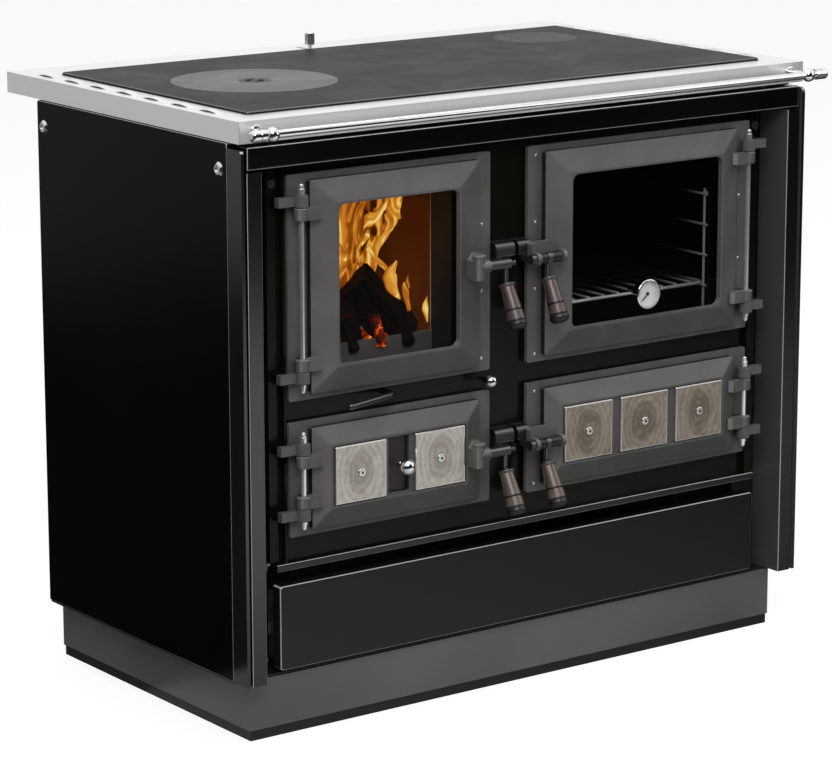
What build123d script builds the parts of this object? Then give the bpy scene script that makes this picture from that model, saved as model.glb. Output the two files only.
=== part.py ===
from build123d import *
import math
import os

# Wood cookstove: enamelled casing, steel-framed cast hob, firebox on the left and oven
# on the right behind hinged cast doors, ash and storage doors below them, wood drawer
# at the bottom. X runs to the viewer's right, Y to the back, Z up. The origin is on the
# floor under the centre of the hob. The front faces -Y. All sizes are in millimetres.

# ---------------------------------------------------------------- overall
hob_width = 1000.0            # steel hob frame, which is also the width over the panels
hob_depth = 612.0
hob_height = 868.0            # floor to the top of the hob frame
hob_frame_height = 30.0
hob_frame_wall = 4.0
hob_plate_rise = 4.0          # the cast plate stands this much above the frame
hob_plate_thick = 8.0
border_side = 44.0            # steel border at the left and right of the cast plate
border_front = 46.0
border_back = 78.0
plate_ledge = 10.0            # frame ledge that carries the cast plate
plate_gap = 1.5               # gap round the cast plate
plate_chamfer = 1.5
plate_corner = 4.0
half_width = hob_width / 2
hob_front = -hob_depth / 2
hob_back = hob_depth / 2
hob_under = hob_height - hob_frame_height
plate_surface = hob_height + hob_plate_rise
plate_under = plate_surface - hob_plate_thick

# ---------------------------------------------------------------- casing
body_setback = 85.0           # the hob frame reaches this far behind the casing
body_back = hob_back - body_setback
post_proud = 5.0              # corner posts stand in front of the hob frame
post_front = hob_front - post_proud
plinth_height = 87.0          # underside of the casing floor
floor_thick = 3.0
casing_bottom = plinth_height + floor_thick
sheet = 2.0                   # casing sheet
panel_flange = 18.0           # depth of the folded edge of a side panel
panel_fold_radius = 4.0
panel_top_gap = 1.5           # side panel below the hob frame
cheek_thick = 5.0             # outer cheek of the corner post
cheek_depth = 35.0
cheek_top_drop = 8.0
groove_width = 4.0            # dark groove between cheek and trim bar
groove_depth = 8.0
bar_width = 24.0              # trim bar of the corner post
bar_depth = 63.0              # its inner face runs this far back
bar_drop = 39.0               # top of the trim bar below the hob frame
bar_top = hob_under - bar_drop
web_reach = 42.0              # back web of the post, behind the front plate
plinth_inset_side = 24.0
plinth_inset_front = 32.0     # behind the post front
plinth_inset_back = 3.0       # the plinth reaches this far behind the casing
toe_height = 15.0             # recessed strip at the floor
base_wall = 4.0
base_flange = 22.0
fascia_drop = 36.0            # underside of the fascia below the hob frame
fascia_gap = 5.0              # dark line between the fascia and the hob frame
fascia_bottom = hob_under - fascia_drop
fascia_top = hob_under - fascia_gap
fascia_setback = 2.0          # behind the post front
fascia_end_gap = 6.0
fascia_round = 2.5

# ---------------------------------------------------------------- cast front plate
plate_setback = 34.0          # front plate behind the post front
front_plate_thick = 8.0
front_plate_half = 438.5
plate_rib_width = 8.0
plate_face = post_front + plate_setback
plate_back = plate_face + front_plate_thick
web_face = post_front + bar_depth - sheet
bead_x = 417.5                # raised bead beside the doors
bead_width = 2.5
bead_height = 9.0
ledge_half = 433.0
ledge_top = 247.0
ledge_height = 10.0
ledge_proud = 10.0            # in front of the plate face
plate_drop = 38.0             # top of the front plate below the hob frame
plate_top = hob_under - plate_drop
plate_corner_round = 3.0

# ---------------------------------------------------------------- doors
hinge_x = 398.5               # hinge pin axes, left and right
hinge_setback = 9.5           # pin axis behind the post front
hinge_y = post_front + hinge_setback
hinge_edge = 13.5             # door edge beyond the pin axis
door_gap = 4.5                # flange behind which the seal sits
flange_thick = 6.0
raised_step = 9.5             # flange to the edge of the raised frame
raised_rise = 8.0             # slope of the raised frame up to the window
hinge_margin = 31.0           # flange showing beside the raised frame
latch_margin = 25.0
top_margin = 8.5
bottom_margin = 9.5
left_latch_x = -69.0          # free edge of the left doors
right_latch_x = -2.5          # free edge of the right doors
door_top_drop = 14.0          # upper doors below the top of the front plate
door_strip = 30.0             # strip with the controls between upper and lower doors
door_sill = 36.0              # lower doors above the ledge
upper_door_bottom = 474.0
upper_door_top = plate_top - door_top_drop
lower_door_bottom = ledge_top + door_sill
lower_door_top = upper_door_bottom - door_strip
fire_window_latch = 41.0      # raised frame beside the window, free side
fire_window_hinge = 42.0
oven_window_latch = 43.0
oven_window_hinge = 36.0
window_margin_z = 36.0
window_radius = 11.0
field_margin = 29.0           # lower doors: raised frame round the insert plates
field_depth = 4.0
opening_inset = 22.5          # plate opening inside the hinge axis
opening_latch_inset = 33.0    # plate opening inside the free edge of the door
opening_upper_inset = 24.0
opening_lower_inset = 21.0
seal_width = 10.0
seal_groove = 2.0
seal_clearance = 0.3
ridge_width = 6.0
casting_wall = 6.0
flange_back = plate_face - door_gap
flange_front = flange_back - flange_thick
raised_front = flange_front - raised_step
lip_front = raised_front - raised_rise

# ---------------------------------------------------------------- door glass
glass_thick = 4.0
glass_setback = 8.0           # glass behind the lip of the window
glass_lap = 9.0               # glass behind the frame, all round
glass_play = 1.0
clip_height = 14.0
clip_thick = 3.0
clip_screw = 7.0
glass_front = lip_front + glass_setback
glass_back = glass_front + glass_thick

# ---------------------------------------------------------------- hinges
pin_diameter = 8.0
pin_running = 0.08            # radial clearance of the door knuckles
knuckle_radius = 10.0
knuckle_height = 17.0
knuckle_gap = 0.6
arm_reach = 32.0              # door arm from the pin axis to its end
arm_front = 7.5               # arm in front of the pin axis
lug_foot_inner = 22.5         # foot of the fixed lug, outward from the pin axis
lug_foot_outer = 35.5
lug_front = 1.0               # arm of the fixed lug behind the pin axis
lug_back = 10.5
lug_inset = 2.0               # arm of the fixed lug inside the height of its knuckle
knuckle_chamfer = 1.2
knuckle_drop = 43.5           # top of the upper knuckle below the top of its door
knuckle_lift = 44.0           # underside of the lower knuckle above its door's lower edge
lower_knuckle_drop = 44.0
lower_knuckle_lift = 43.0
upper_knuckle_top = upper_door_top - knuckle_drop
upper_knuckle_bottom = upper_door_bottom + knuckle_lift
lower_knuckle_top = lower_door_top - lower_knuckle_drop
lower_knuckle_bottom = lower_door_bottom + lower_knuckle_lift
pin_foot = 10.0               # centre of the finial below the lower lug
pin_foot_collar = 5.0
pin_tip_rise = 3.5            # centre of the top finial above its nut
pin_nut_height = 9.0
pin_nut_diameter = 10.5
pin_tip_diameter = 7.5

# ---------------------------------------------------------------- handles
handle_y = -320.5             # pivot axis in front of the doors
upper_handle_rise = 1.0       # pivot above the middle of the upper doors
lower_handle_lift = 79.0      # pivot above the lower edge of the lower doors
upper_handle_z = (upper_door_bottom + upper_door_top) / 2 + upper_handle_rise
lower_handle_z = lower_door_bottom + lower_handle_lift
left_grip_x = -66.0
right_grip_x = 9.0
pivot_diameter = 8.0
hub_diameter = 14.0
stem_diameter = 7.0
stem_drop = 25.0
grip_slant = 25.0             # degrees away from the upright
grip_length = 66.0
grip_top_diameter = 19.0
grip_end_diameter = 28.0
grip_collar_diameter = 23.0
grip_collar_height = 4.5
grip_bore = 6.4
tang_diameter = 6.0
tang_length = 22.0
nose_width = 8.0
nose_height = 8.0
nose_reach = 35.0             # from the pivot axis towards the front plate
catch_clearance = 0.4         # catch above the nose
catch_height = 20.0
catch_depth = 23.0
catch_gap = 2.5               # catch beside the door edge
catch_width_left = 33.0
catch_width_right = 22.0
catch_round = 10.0
boss_height = 36.0
boss_post_diameter = 16.0
boss_cap_diameter = 19.0
boss_cap_height = 5.0
boss_slope = 9.0              # sloped upper corner of the boss
boss_set = 44.0               # post of the boss, inward from the free edge of a left door
socket_set = 28.0             # end of its socket, inward from the same edge
socket_diameter = 18.0
pivot_engage = 14.0           # pivot inside the socket
hub_overrun = 6.0             # hub beyond the stem of a left-hand lever
pin_end_length = 9.0
pin_end_diameter = 5.5
pin_head_length = 4.0
pin_head_diameter = 7.0
nose_set = 1.0                # nose beyond the free edge of a left door
lug_thick = 6.0
lug_radius = 9.0
handle_play = 0.4
bracket_overhang = 11.5       # bracket beyond the free edge of a right-hand door
bracket_length = 52.0
bracket_back = -302.0         # back of the bracket where it stands free of the door
bracket_rise = 22.0           # top of the bracket above the pivot
bracket_drop = 9.0
bracket_round = 18.0          # rounded shoulder over the springs
bracket_corner = 4.0
bracket_foot_inset = 4.0
shaft_overrun = 1.5
spring_wire = 2.0
spring_diameter = 16.0
spring_core = 11.0
spring_band = 8.4
spring_pitch = 2.9
spring_clearance = 0.5

# ---------------------------------------------------------------- insert plates
ash_plate_width = 86.0
storage_plate_width = 88.5
insert_height = 82.0
insert_thick = 6.0
ash_plate_gap = 50.0
storage_plate_gap = 16.0
insert_screw_diameter = 13.0
insert_screw_height = 3.2
insert_screw_round = 2.0
field_wall = 6.0              # casting behind the insert plates

# ---------------------------------------------------------------- air controls
air_knob_diameter = 23.0
air_knob_proud = 14.0         # ball centre in front of the insert plates
air_collar_diameter = 16.0
air_collar_length = 4.0
air_stem_diameter = 7.0
air_travel = 14.0             # either way
air_window_play = 0.5         # stem beside the edge of the window at full travel
air_window_height = 80.0
air_port_width = 12.0
air_port_height = 64.0
air_port_cover = 2.0          # closed strip between the window and a port at rest
air_slide_thick = 3.0
air_slide_width = 120.0
air_slide_height = 84.0
air_slide_play = 0.4
air_guide_length = 148.0
air_guide_width = 4.0
air_guide_lip = 3.0           # lip of the guide behind the slide
lever_x = -246.0
lever_drop = 9.5              # below the lower edge of the upper doors
lever_z = upper_door_bottom - lever_drop
lever_diameter = 9.0
lever_stand = 22.0            # elbow in front of the plate, pushed in
lever_reach = 90.0
lever_splay = 27.0            # free end further out than the elbow
lever_bend = 8.0
lever_travel = 25.0           # pulled out, the shutter closes the hole
lever_hole_play = 0.8
shutter_gap = 1.0             # shutter behind the wall, pulled out
shutter_half = 26.0
shutter_thick = 3.0
shutter_top = 5.0             # edges above and below the lever's axis
shutter_bottom = 13.0
shaker_x = -80.0
shaker_drop = 13.0
shaker_z = upper_door_bottom - shaker_drop
rod_play = 0.4
shaker_rod_diameter = 6.0
shaker_ball_diameter = 18.0
shaker_stand = 28.0
shaker_travel = 30.0

# ---------------------------------------------------------------- drawer
drawer_half = 431.0
drawer_lift = 6.0             # drawer front above the casing floor
drawer_top_gap = 30.0         # finger gap and ledge over the drawer front
drawer_bottom = casing_bottom + drawer_lift
drawer_top = ledge_top - drawer_top_gap
drawer_front_thick = 18.0
drawer_proud = 13.0           # drawer front in front of the plate face
drawer_fold_radius = 3.0
drawer_box_half = 414.0
drawer_box_depth = 450.0
drawer_box_lift = 4.0
drawer_box_drop = 19.0        # box below the top of the drawer front
drawer_box_height = drawer_top - drawer_box_drop - drawer_bottom - drawer_box_lift
runner_reach = 15.0
slide_play = 6.0              # drawer slide short of the web of the runner
slide_thick = 3.0
slide_lap = 0.5
runner_height = 10.0
runner_gap = 1.0
bay_half = 436.0
bay_drop = 11.0               # underside of the bay's roof below the ledge
bay_top = ledge_top - bay_drop
bay_top_thick = 4.0
bay_back_gap = 2.0

# ---------------------------------------------------------------- firebox
fire_wall = 4.0
fire_inner_left = -386.0
fire_inner_right = -94.0
fire_back = 190.0
grate_lift = 8.0              # hearth above the lower edge of the fire door
grate_top = upper_door_bottom + grate_lift
grate_thick = 12.0
grate_ledge = 12.0
brick_thick = 26.0
brick_joint = 0.6
brick_chamfer = 1.5
brick_drop = 74.0             # top of the bricks below the top of the fire door
brick_top = upper_door_top - brick_drop
brick_rows = 3
jamb_depth = 50.0             # steel jambs between the doorway and the bricks
jamb_wall = 4.0
jamb_gap = 1.0
gas_slot_height = 50.0
gas_slot_drop = 12.0          # below the hob plate
gas_slot_front = 60.0
gas_slot_back = 40.0
guard_height = 44.0
guard_thick = 7.0
guard_gap = 2.0
grate_well_width = 184.0
grate_well_length = 260.0
grate_lip = 8.0
grate_well_depth = 9.0
grate_bar_length = 220.0
grate_bar_drop = 1.0          # moving grate below the hearth
grate_border = 8.0
grate_slots = 8
grate_slot_width = 9.0
grate_slot_margin = 20.0
grate_play = 0.6
grate_tail_width = 28.0
grate_tail_set = 12.0
grate_tail_half = 6.0
grate_tail_drop = 3.0

# ---------------------------------------------------------------- oven and storage
oven_wall = 3.0
oven_depth = 400.0
rack_wire = 5.0
rack_bar = 3.6
rack_bars = 11
rack_rest = 0.2
rack_setback = 30.0
rack_depth = 340.0
rack_corner = 14.0
weld_sink = 0.8
rack_lift = 66.0              # rack above the lower edge of the oven door
rack_height = upper_door_bottom + rack_lift
guide_wire = 4.0
guide_spacing = 46.0
guide_headroom = 60.0         # least room over the top rung
guide_end_gap = 25.0
guide_leg_set = 8.0
guide_leg_rise = 8.0
guide_stay_drop = 6.0
oven_foot_width = 12.0
oven_foot_set = 20.0
oven_foot_gap = 60.0
storage_wall = 2.0
storage_depth = 400.0
casing_right = 408.0          # inside of the flue casing beside the oven
casing_back = 165.0
casing_wall = 4.0
casing_floor_drop = 40.0      # below the lower edge of the oven door
casing_floor = upper_door_bottom - casing_floor_drop
rod_tunnel_left = 12.0
rod_tunnel_right = 8.0
rod_tunnel_half = 8.0

# ---------------------------------------------------------------- ash pan
pan_wall = 2.0
pan_side_play = 12.0
pan_height = 92.0
pan_depth = 385.0
pan_lip = 6.0
pan_lip_height = 10.0
pan_front_gap = 8.0
pan_lift = 2.0                # above the sill of the ash opening
pan_foot_set = 20.0
pan_foot_thick = 4.0

# ---------------------------------------------------------------- hob fittings
ring_x = -279.5
ring_y = -12.0
ring_diameter = 240.0
ring_play = 1.0
ring_step = 6.0
ring_upper = 4.0
lid_diameter = 46.0
lid_dish_rim = 9.0            # rim round the dish of the lid
lid_dish_depth = 4.5
lid_bar_width = 7.0           # lifting bar across the dish
lid_bar_turn = 35.0
flue_cover_x = 336.0
flue_cover_y = 128.0
flue_cover_diameter = 134.0
louvre_count = 7
louvre_pitch = 71.0
louvre_length = 46.0
louvre_width = 10.0           # from the mouth to the closed side
louvre_hood = 3.2
louvre_wall = 1.2
louvre_start = -205.0
damper_x = -9.0
damper_y = 243.0
damper_travel = 30.0
damper_stem_diameter = 6.0
damper_knob_diameter = 15.0
damper_knob_height = 19.0
damper_stand = 7.0
damper_plate_width = 80.0
damper_plate_thick = 3.0
damper_plate_reach = 190.0
damper_shelf_drop = 22.0      # shelf that the damper plate slides on, below the hob frame
damper_play = 0.4
flue_x = 300.0
flue_drop = 96.0              # below the top of the upper doors
flue_z = upper_door_top - flue_drop
flue_diameter = 150.0
flue_wall = 3.0
flue_end = 291.0
flue_flange = 200.0
flue_flange_thick = 4.0
flue_flange_round = 10.0
flue_hole_gap = 3.0           # round the collar in the back panel
flue_bead_set = 6.0
flue_bead_width = 6.0
flue_bead_rise = 2.5

# ---------------------------------------------------------------- front rail
rail_y = -346.0
rail_drop = 14.0              # below the top of the hob frame
rail_z = hob_height - rail_drop
rail_diameter = 11.0
rail_ball_x = 473.0
rail_ball_diameter = 20.0
rail_post_diameter = 9.0
rail_rosette_diameter = 17.0
rail_rosette_thick = 3.0
rail_rosette_round = 2.0
rail_neck = 2.0               # between the ball and its finial
rail_finial_diameter = 16.0
rail_finial_length = 22.0
rail_finial_round = 4.0
rail_groove_set = 8.0         # turned groove from the inner end of the finial
rail_groove_width = 1.6
rail_groove_depth = 1.2

# ---------------------------------------------------------------- thermometer
thermo_x = 206.0
thermo_lift = 78.5            # above the lower edge of the oven door
thermo_z = upper_door_bottom + thermo_lift
thermo_diameter = 44.0
thermo_depth = 12.0
thermo_rim = 3.0
thermo_probe = 8.0
thermo_probe_length = 30.0
needle_length = 15.0

# ---------------------------------------------------------------- screws
panel_screw_diameter = 20.0
panel_screw_height = 3.0
panel_screw_slope = 3.0
panel_screw_dish = 9.0
panel_screw_dish_depth = 1.4
panel_screw_y_back = 202.0
panel_screw_y_front = -257.0
panel_screw_z = bar_top
plate_screw_x = 430.8
plate_screw_diameter = 13.0
plate_screw_height = 3.5
plate_screw_round = 1.8
plate_screw_drop = 25.0       # below the top of the front plate
plate_screw_z = plate_top - plate_screw_drop


# ---------------------------------------------------------------- small makers
def block(x0, x1, y0, y1, z0, z1):
    """Box between two corners."""
    place = Pos((x0 + x1) / 2, (y0 + y1) / 2, (z0 + z1) / 2)
    return place * Box(abs(x1 - x0), abs(y1 - y0), abs(z1 - z0))


def rod_x(x0, x1, y, z, diameter):
    place = Pos((x0 + x1) / 2, y, z) * Rot(0, 90, 0)
    return place * Cylinder(diameter / 2, abs(x1 - x0))


def rod_y(x, y0, y1, z, diameter):
    place = Pos(x, (y0 + y1) / 2, z) * Rot(90, 0, 0)
    return place * Cylinder(diameter / 2, abs(y1 - y0))


def rod_z(x, y, z0, z1, diameter):
    return Pos(x, y, (z0 + z1) / 2) * Cylinder(diameter / 2, abs(z1 - z0))


def face_at(y, x0, x1, z0, z1, radius=0.0):
    """Upright rectangle facing the front, at depth y."""
    outline = Rectangle(x1 - x0, z1 - z0)
    if radius > 0:
        outline = RectangleRounded(x1 - x0, z1 - z0, radius)
    return Plane.XZ.offset(-y) * Pos((x0 + x1) / 2, (z0 + z1) / 2) * outline


def slab(y_front, y_back, x0, x1, z0, z1, radius=0.0):
    """Upright plate between two depths, with rounded corners."""
    return extrude(face_at(y_back, x0, x1, z0, z1, radius), y_back - y_front)


def ring_slab(y_front, y_back, x0, x1, z0, z1, width):
    """Upright picture frame; the numbers give its inner edge."""
    outer = slab(y_front, y_back, x0 - width, x1 + width, z0 - width, z1 + width)
    return outer - slab(y_front - 1, y_back + 1, x0, x1, z0, z1)


def mirrored(shape):
    return mirror(shape, about=Plane.YZ)


def both_sides(shape):
    return [shape, mirrored(shape)]


def save(name, *shapes):
    """Writes one node: every separate solid of the shapes given."""
    solids = []
    for shape in shapes:
        solids.extend(shape.solids())
    whole = solids[0] if len(solids) == 1 else Compound(children=solids)
    export_step(whole, os.path.join("parts", name + ".step"))


# ---------------------------------------------------------------- casing pieces
def make_plinth_skirt():
    x = half_width - plinth_inset_side
    y0 = post_front + plinth_inset_front
    y1 = body_back + plinth_inset_back
    outer = block(-x, x, y0, y1, toe_height, plinth_height)
    inner = block(-x + sheet, x - sheet, y0 + sheet, y1 - sheet, 0, hob_height)
    return outer - inner


def make_base_frame():
    """Load-bearing frame inside the skirt, with the casing floor on top."""
    x = half_width - plinth_inset_side - sheet
    y0 = post_front + plinth_inset_front + sheet
    y1 = body_back + plinth_inset_back - sheet
    ring = block(-x, x, y0, y1, 0, plinth_height)
    ring -= block(-x + base_wall, x - base_wall, y0 + base_wall, y1 - base_wall,
                  base_wall, plinth_height)
    ring -= block(-x + base_flange, x - base_flange, y0 + base_flange, y1 - base_flange,
                  -1, plinth_height)
    floor_x = half_width - sheet
    floor_y0 = post_front + cheek_depth
    floor = block(-floor_x, floor_x, floor_y0, body_back - sheet,
                  plinth_height, plinth_height + floor_thick)
    cross = block(-x + base_wall, x - base_wall, -base_flange, base_flange, 0, base_wall)
    cross += block(-x + base_wall, x - base_wall, -base_wall / 2, base_wall / 2, 0, plinth_height)
    return ring + floor + cross


def make_side_panel():
    """Left panel: a tray of sheet, open towards the inside, with rounded folds."""
    y0 = post_front + cheek_depth
    x0 = -half_width
    top = hob_under - panel_top_gap
    outer = block(x0, x0 + panel_flange, y0, body_back, casing_bottom, top)
    corners = outer.edges().filter_by(Axis.X).filter_by(lambda e: e.center().Z > casing_bottom + 1)
    outer = fillet(corners, panel_fold_radius)
    rim = outer.faces().sort_by(Axis.X)[0].edges()
    outer = fillet(rim, panel_fold_radius / 2)
    inner = block(x0 + sheet, half_width, y0 + sheet, body_back - sheet,
                  casing_bottom + sheet, top - sheet)
    return outer - inner


def make_corner_post():
    """Left post: outer cheek, groove, trim bar and back web, folded from sheet."""
    out = -half_width
    groove_x0 = out + cheek_thick
    bar_x0 = groove_x0 + groove_width
    bar_x1 = bar_x0 + bar_width
    back = post_front + cheek_depth
    cheek_top = hob_under - cheek_top_drop
    cheek = block(out, groove_x0, post_front, back, casing_bottom, cheek_top)
    top_edge = cheek.edges().filter_by(Axis.X).sort_by(Axis.Z)[-2:].sort_by(Axis.Y)[0]
    cheek = fillet(top_edge, panel_fold_radius * 2)
    groove = block(out + sheet, bar_x0 + sheet, post_front + groove_depth,
                   post_front + groove_depth + sheet, casing_bottom, bar_top)
    bar = block(bar_x0, bar_x1, post_front, web_face + sheet, casing_bottom, bar_top)
    front_edges = bar.edges().filter_by(Axis.Z).sort_by(Axis.Y)[:2]
    bar = fillet(front_edges, 2.0)
    bar -= block(bar_x0 + sheet, bar_x1 - sheet, post_front + sheet, hob_back,
                 casing_bottom - 1, bar_top - sheet)
    bar -= block(bar_x0 - 1, bar_x1 - sheet, back, hob_back, casing_bottom - 1, bar_top + 1)
    angle = block(bar_x1 - sheet, bar_x1, back, web_face + sheet, casing_bottom, hob_under)
    web = block(bar_x1 - sheet, bar_x1 + web_reach, web_face, web_face + sheet,
                casing_bottom, plate_top)
    return cheek + groove + bar + angle + web


def make_back_panel():
    x = half_width - panel_flange
    y1 = body_back
    panel = block(-x, x, y1 - sheet, y1, casing_bottom, hob_under)
    flange = block(-x, x, y1 - panel_flange, y1, hob_under - sheet, hob_under)
    hole = rod_y(flue_x, y1 - panel_flange, y1 + 1, flue_z, flue_diameter + 2 * flue_hole_gap)
    notch_x = damper_plate_width / 2 + 2
    notch_z = hob_under - damper_shelf_drop + casing_wall
    notch = block(damper_x - notch_x, damper_x + notch_x, y1 - sheet - 1, y1 + 1,
                  notch_z - 2, notch_z + damper_plate_thick + 4)
    return panel + flange - hole - notch


def make_top_fascia():
    x = half_width - cheek_thick - fascia_end_gap
    y0 = post_front + fascia_setback
    y1 = post_front + cheek_depth
    outer = block(-x, x, y0, y1, fascia_bottom, fascia_top)
    front = outer.faces().sort_by(Axis.Y)[0].edges()
    outer = fillet(front, fascia_round)
    return outer - block(-x + sheet, x - sheet, y0 + sheet, y1 + 1,
                         fascia_bottom + sheet, fascia_top - sheet)


# ---------------------------------------------------------------- door openings in the plate
def plate_opening(latch_x, z0, z1, inset):
    """Opening behind a left-hand door, as x0, x1, z0, z1."""
    return (-hinge_x + opening_inset, latch_x - opening_latch_inset, z0 + inset, z1 - inset)


fire_opening = plate_opening(left_latch_x, upper_door_bottom, upper_door_top,
                             opening_upper_inset)
oven_opening = plate_opening(-right_latch_x, upper_door_bottom, upper_door_top,
                             opening_upper_inset)
ash_opening = plate_opening(left_latch_x, lower_door_bottom, lower_door_top,
                            opening_lower_inset)
storage_opening = plate_opening(-right_latch_x, lower_door_bottom, lower_door_top,
                                opening_lower_inset)


def cut_opening(opening):
    x0, x1, z0, z1 = opening
    return slab(plate_face - 1, plate_back + 1, x0, x1, z0, z1, 6.0)


def barrel(z0, z1):
    """Hinge knuckle on the left pin axis, before it is bored."""
    knuckle = rod_z(-hinge_x, hinge_y, z0, z1, 2 * knuckle_radius)
    return chamfer(knuckle.edges().filter_by(GeomType.CIRCLE), knuckle_chamfer)


def hinge_lugs(top_z, bottom_z):
    """Fixed lugs of one left-hand door: above its upper and below its lower knuckle."""
    lugs = []
    for z0 in (top_z + knuckle_gap, bottom_z - knuckle_gap - knuckle_height):
        z1 = z0 + knuckle_height
        knuckle = barrel(z0, z1)
        arm = block(-hinge_x - lug_foot_outer, -hinge_x, hinge_y + lug_front,
                    hinge_y + lug_back, z0 + lug_inset, z1 - lug_inset)
        foot = block(-hinge_x - lug_foot_outer, -hinge_x - lug_foot_inner,
                     hinge_y + lug_back, plate_face, z0 + lug_inset, z1 - lug_inset)
        hole = rod_z(-hinge_x, hinge_y, z0 - 1, z1 + 1, pin_diameter)
        lugs.append(knuckle + arm + foot - hole)
    return lugs


def make_front_plate():
    """Cast plate with the four door openings, rear rim, beads and hinge lugs."""
    h = front_plate_half
    plate = slab(plate_face, plate_back, -h, h, ledge_top, plate_top, plate_corner_round)
    rim = block(-h, h, plate_back, web_face, ledge_top, plate_top)
    rim -= block(-h + plate_rib_width, h - plate_rib_width, plate_back - 1, web_face + 1,
                 ledge_top - 1, plate_top + 1)
    bead = block(-bead_x - bead_width / 2, -bead_x + bead_width / 2,
                 plate_face - bead_height, plate_face, ledge_top, plate_top)
    plate += rim + bead + mirrored(bead)
    for opening in (fire_opening, ash_opening):
        plate -= cut_opening(opening)
    for opening in (oven_opening, storage_opening):
        plate -= mirrored(cut_opening(opening))
    plate -= rod_y(lever_x, plate_face - 1, plate_back + 1, lever_z,
                   lever_diameter + 2 * lever_hole_play)
    plate -= rod_y(shaker_x, plate_face - 1, plate_back + 1, shaker_z,
                   shaker_rod_diameter + 2 * rod_play)
    lugs = hinge_lugs(upper_knuckle_top, upper_knuckle_bottom)
    lugs += hinge_lugs(lower_knuckle_top, lower_knuckle_bottom)
    for lug in lugs:
        plate += lug
        plate += mirrored(lug)
    return plate


def make_drawer_ledge():
    y0 = plate_face - ledge_proud
    bar = block(-ledge_half, ledge_half, y0, plate_back, ledge_top - ledge_height, ledge_top)
    front = bar.edges().filter_by(Axis.X).sort_by(Axis.Y)[:2]
    return fillet(front, 2.0)


def make_drawer_bay():
    """Inverted trough that houses the drawer and carries the firebox and the oven."""
    y0 = web_face + sheet
    y1 = body_back - panel_flange - bay_back_gap
    z0 = casing_bottom
    z1 = bay_top + bay_top_thick
    bay = block(-bay_half, bay_half, y0, y1, z0, z1)
    bay -= block(-bay_half + sheet, bay_half - sheet, y0 - 1, y1 + 1, z0 - 1, bay_top)
    runner_z = drawer_bottom + drawer_box_lift + drawer_box_height / 2
    runner = block(-bay_half + sheet, -bay_half + sheet + runner_reach, y0, y1,
                   runner_z - runner_height - runner_gap, runner_z - runner_gap)
    return bay + runner + mirrored(runner)


def make_side_screws():
    """Countersunk panel screws in cup washers, and the two plate screws."""
    screws = []
    for y in (panel_screw_y_back, panel_screw_y_front):
        cup = Pos(-half_width - panel_screw_height / 2, y, panel_screw_z) * Rot(0, -90, 0)
        cup *= Cone(panel_screw_diameter / 2, panel_screw_diameter / 2 - panel_screw_slope,
                    panel_screw_height)
        face = -half_width - panel_screw_height
        dish = rod_x(face - 1, face + panel_screw_dish_depth, y, panel_screw_z,
                     panel_screw_dish)
        screws += both_sides(cup - dish)
    head = rod_y(-plate_screw_x, plate_face - plate_screw_height, plate_face, plate_screw_z,
                 plate_screw_diameter)
    head = fillet(head.edges().sort_by(Axis.Y)[0], plate_screw_round)
    screws += both_sides(head)
    return screws


# ---------------------------------------------------------------- hob
def arch(x0, x1, y, length, rise, depth):
    """Low arch along Y over the hob frame, from x0 to x1 and down to a depth below it."""
    half = length / 2
    top, bottom = hob_height, hob_height - depth
    with BuildSketch(Plane.YZ) as side:
        with BuildLine():
            ThreePointArc((y - half, top), (y, top + rise), (y + half, top))
            Polyline((y + half, top), (y + half, bottom), (y - half, bottom), (y - half, top))
        make_face()
    return Pos(x0, 0, 0) * extrude(side.sketch, amount=x1 - x0)


def make_hob_frame():
    x, y0, y1 = half_width, hob_front, hob_back
    hx, hy0, hy1 = half_width - border_side, hob_front + border_front, hob_back - border_back
    w = hob_frame_wall
    frame = block(-x, x, y0, y1, hob_under, hob_height)
    frame = fillet(frame.edges().filter_by(Axis.Z), 2.0)
    frame -= block(-x + w, x - w, y0 + w, y1 - w, hob_under - 1, hob_height - w)
    skirt = block(-hx - w, hx + w, hy0 - w, hy1 + w, hob_under, hob_height - w)
    frame += skirt
    frame -= block(-hx, hx, hy0, hy1, plate_under, hob_height + 1)
    frame -= block(-hx + plate_ledge, hx - plate_ledge, hy0 + plate_ledge, hy1 - plate_ledge,
                   hob_under - 1, hob_height)
    mouth_x = -half_width + (border_side - louvre_width) / 2
    closed_x = mouth_x + louvre_width
    for n in range(louvre_count):
        y = louvre_start + n * louvre_pitch
        hood = arch(mouth_x, closed_x, y, louvre_length, louvre_hood, w / 2)
        mouth = arch(mouth_x - 1, closed_x - louvre_wall, y, louvre_length - 4 * louvre_wall,
                     louvre_hood - louvre_wall, w + 1)
        for piece, hole in ((hood, mouth), (mirrored(hood), mirrored(mouth))):
            frame += piece
            frame -= hole
    stem = damper_stem_diameter / 2 + 1
    frame -= block(damper_x - stem, damper_x + stem, damper_y - stem,
                   damper_y + damper_travel + stem, hob_under - 1, hob_height + 1)
    return frame


def disc_hole(x, y, diameter, top):
    """Stepped hole that a lift-out cover sits in."""
    upper = rod_z(x, y, top - ring_upper, top + 1, diameter)
    lower = rod_z(x, y, top - hob_plate_thick - 1, top, diameter - 2 * ring_step)
    return upper + lower


def disc_cover(x, y, diameter, top):
    """Stepped lift-out cover, with play all round its two steps."""
    play = 2 * ring_play
    upper = rod_z(x, y, top - ring_upper + ring_play / 2, top, diameter - play)
    lower = rod_z(x, y, top - hob_plate_thick, top - ring_upper / 2,
                  diameter - 2 * ring_step - play)
    return upper + lower


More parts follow.
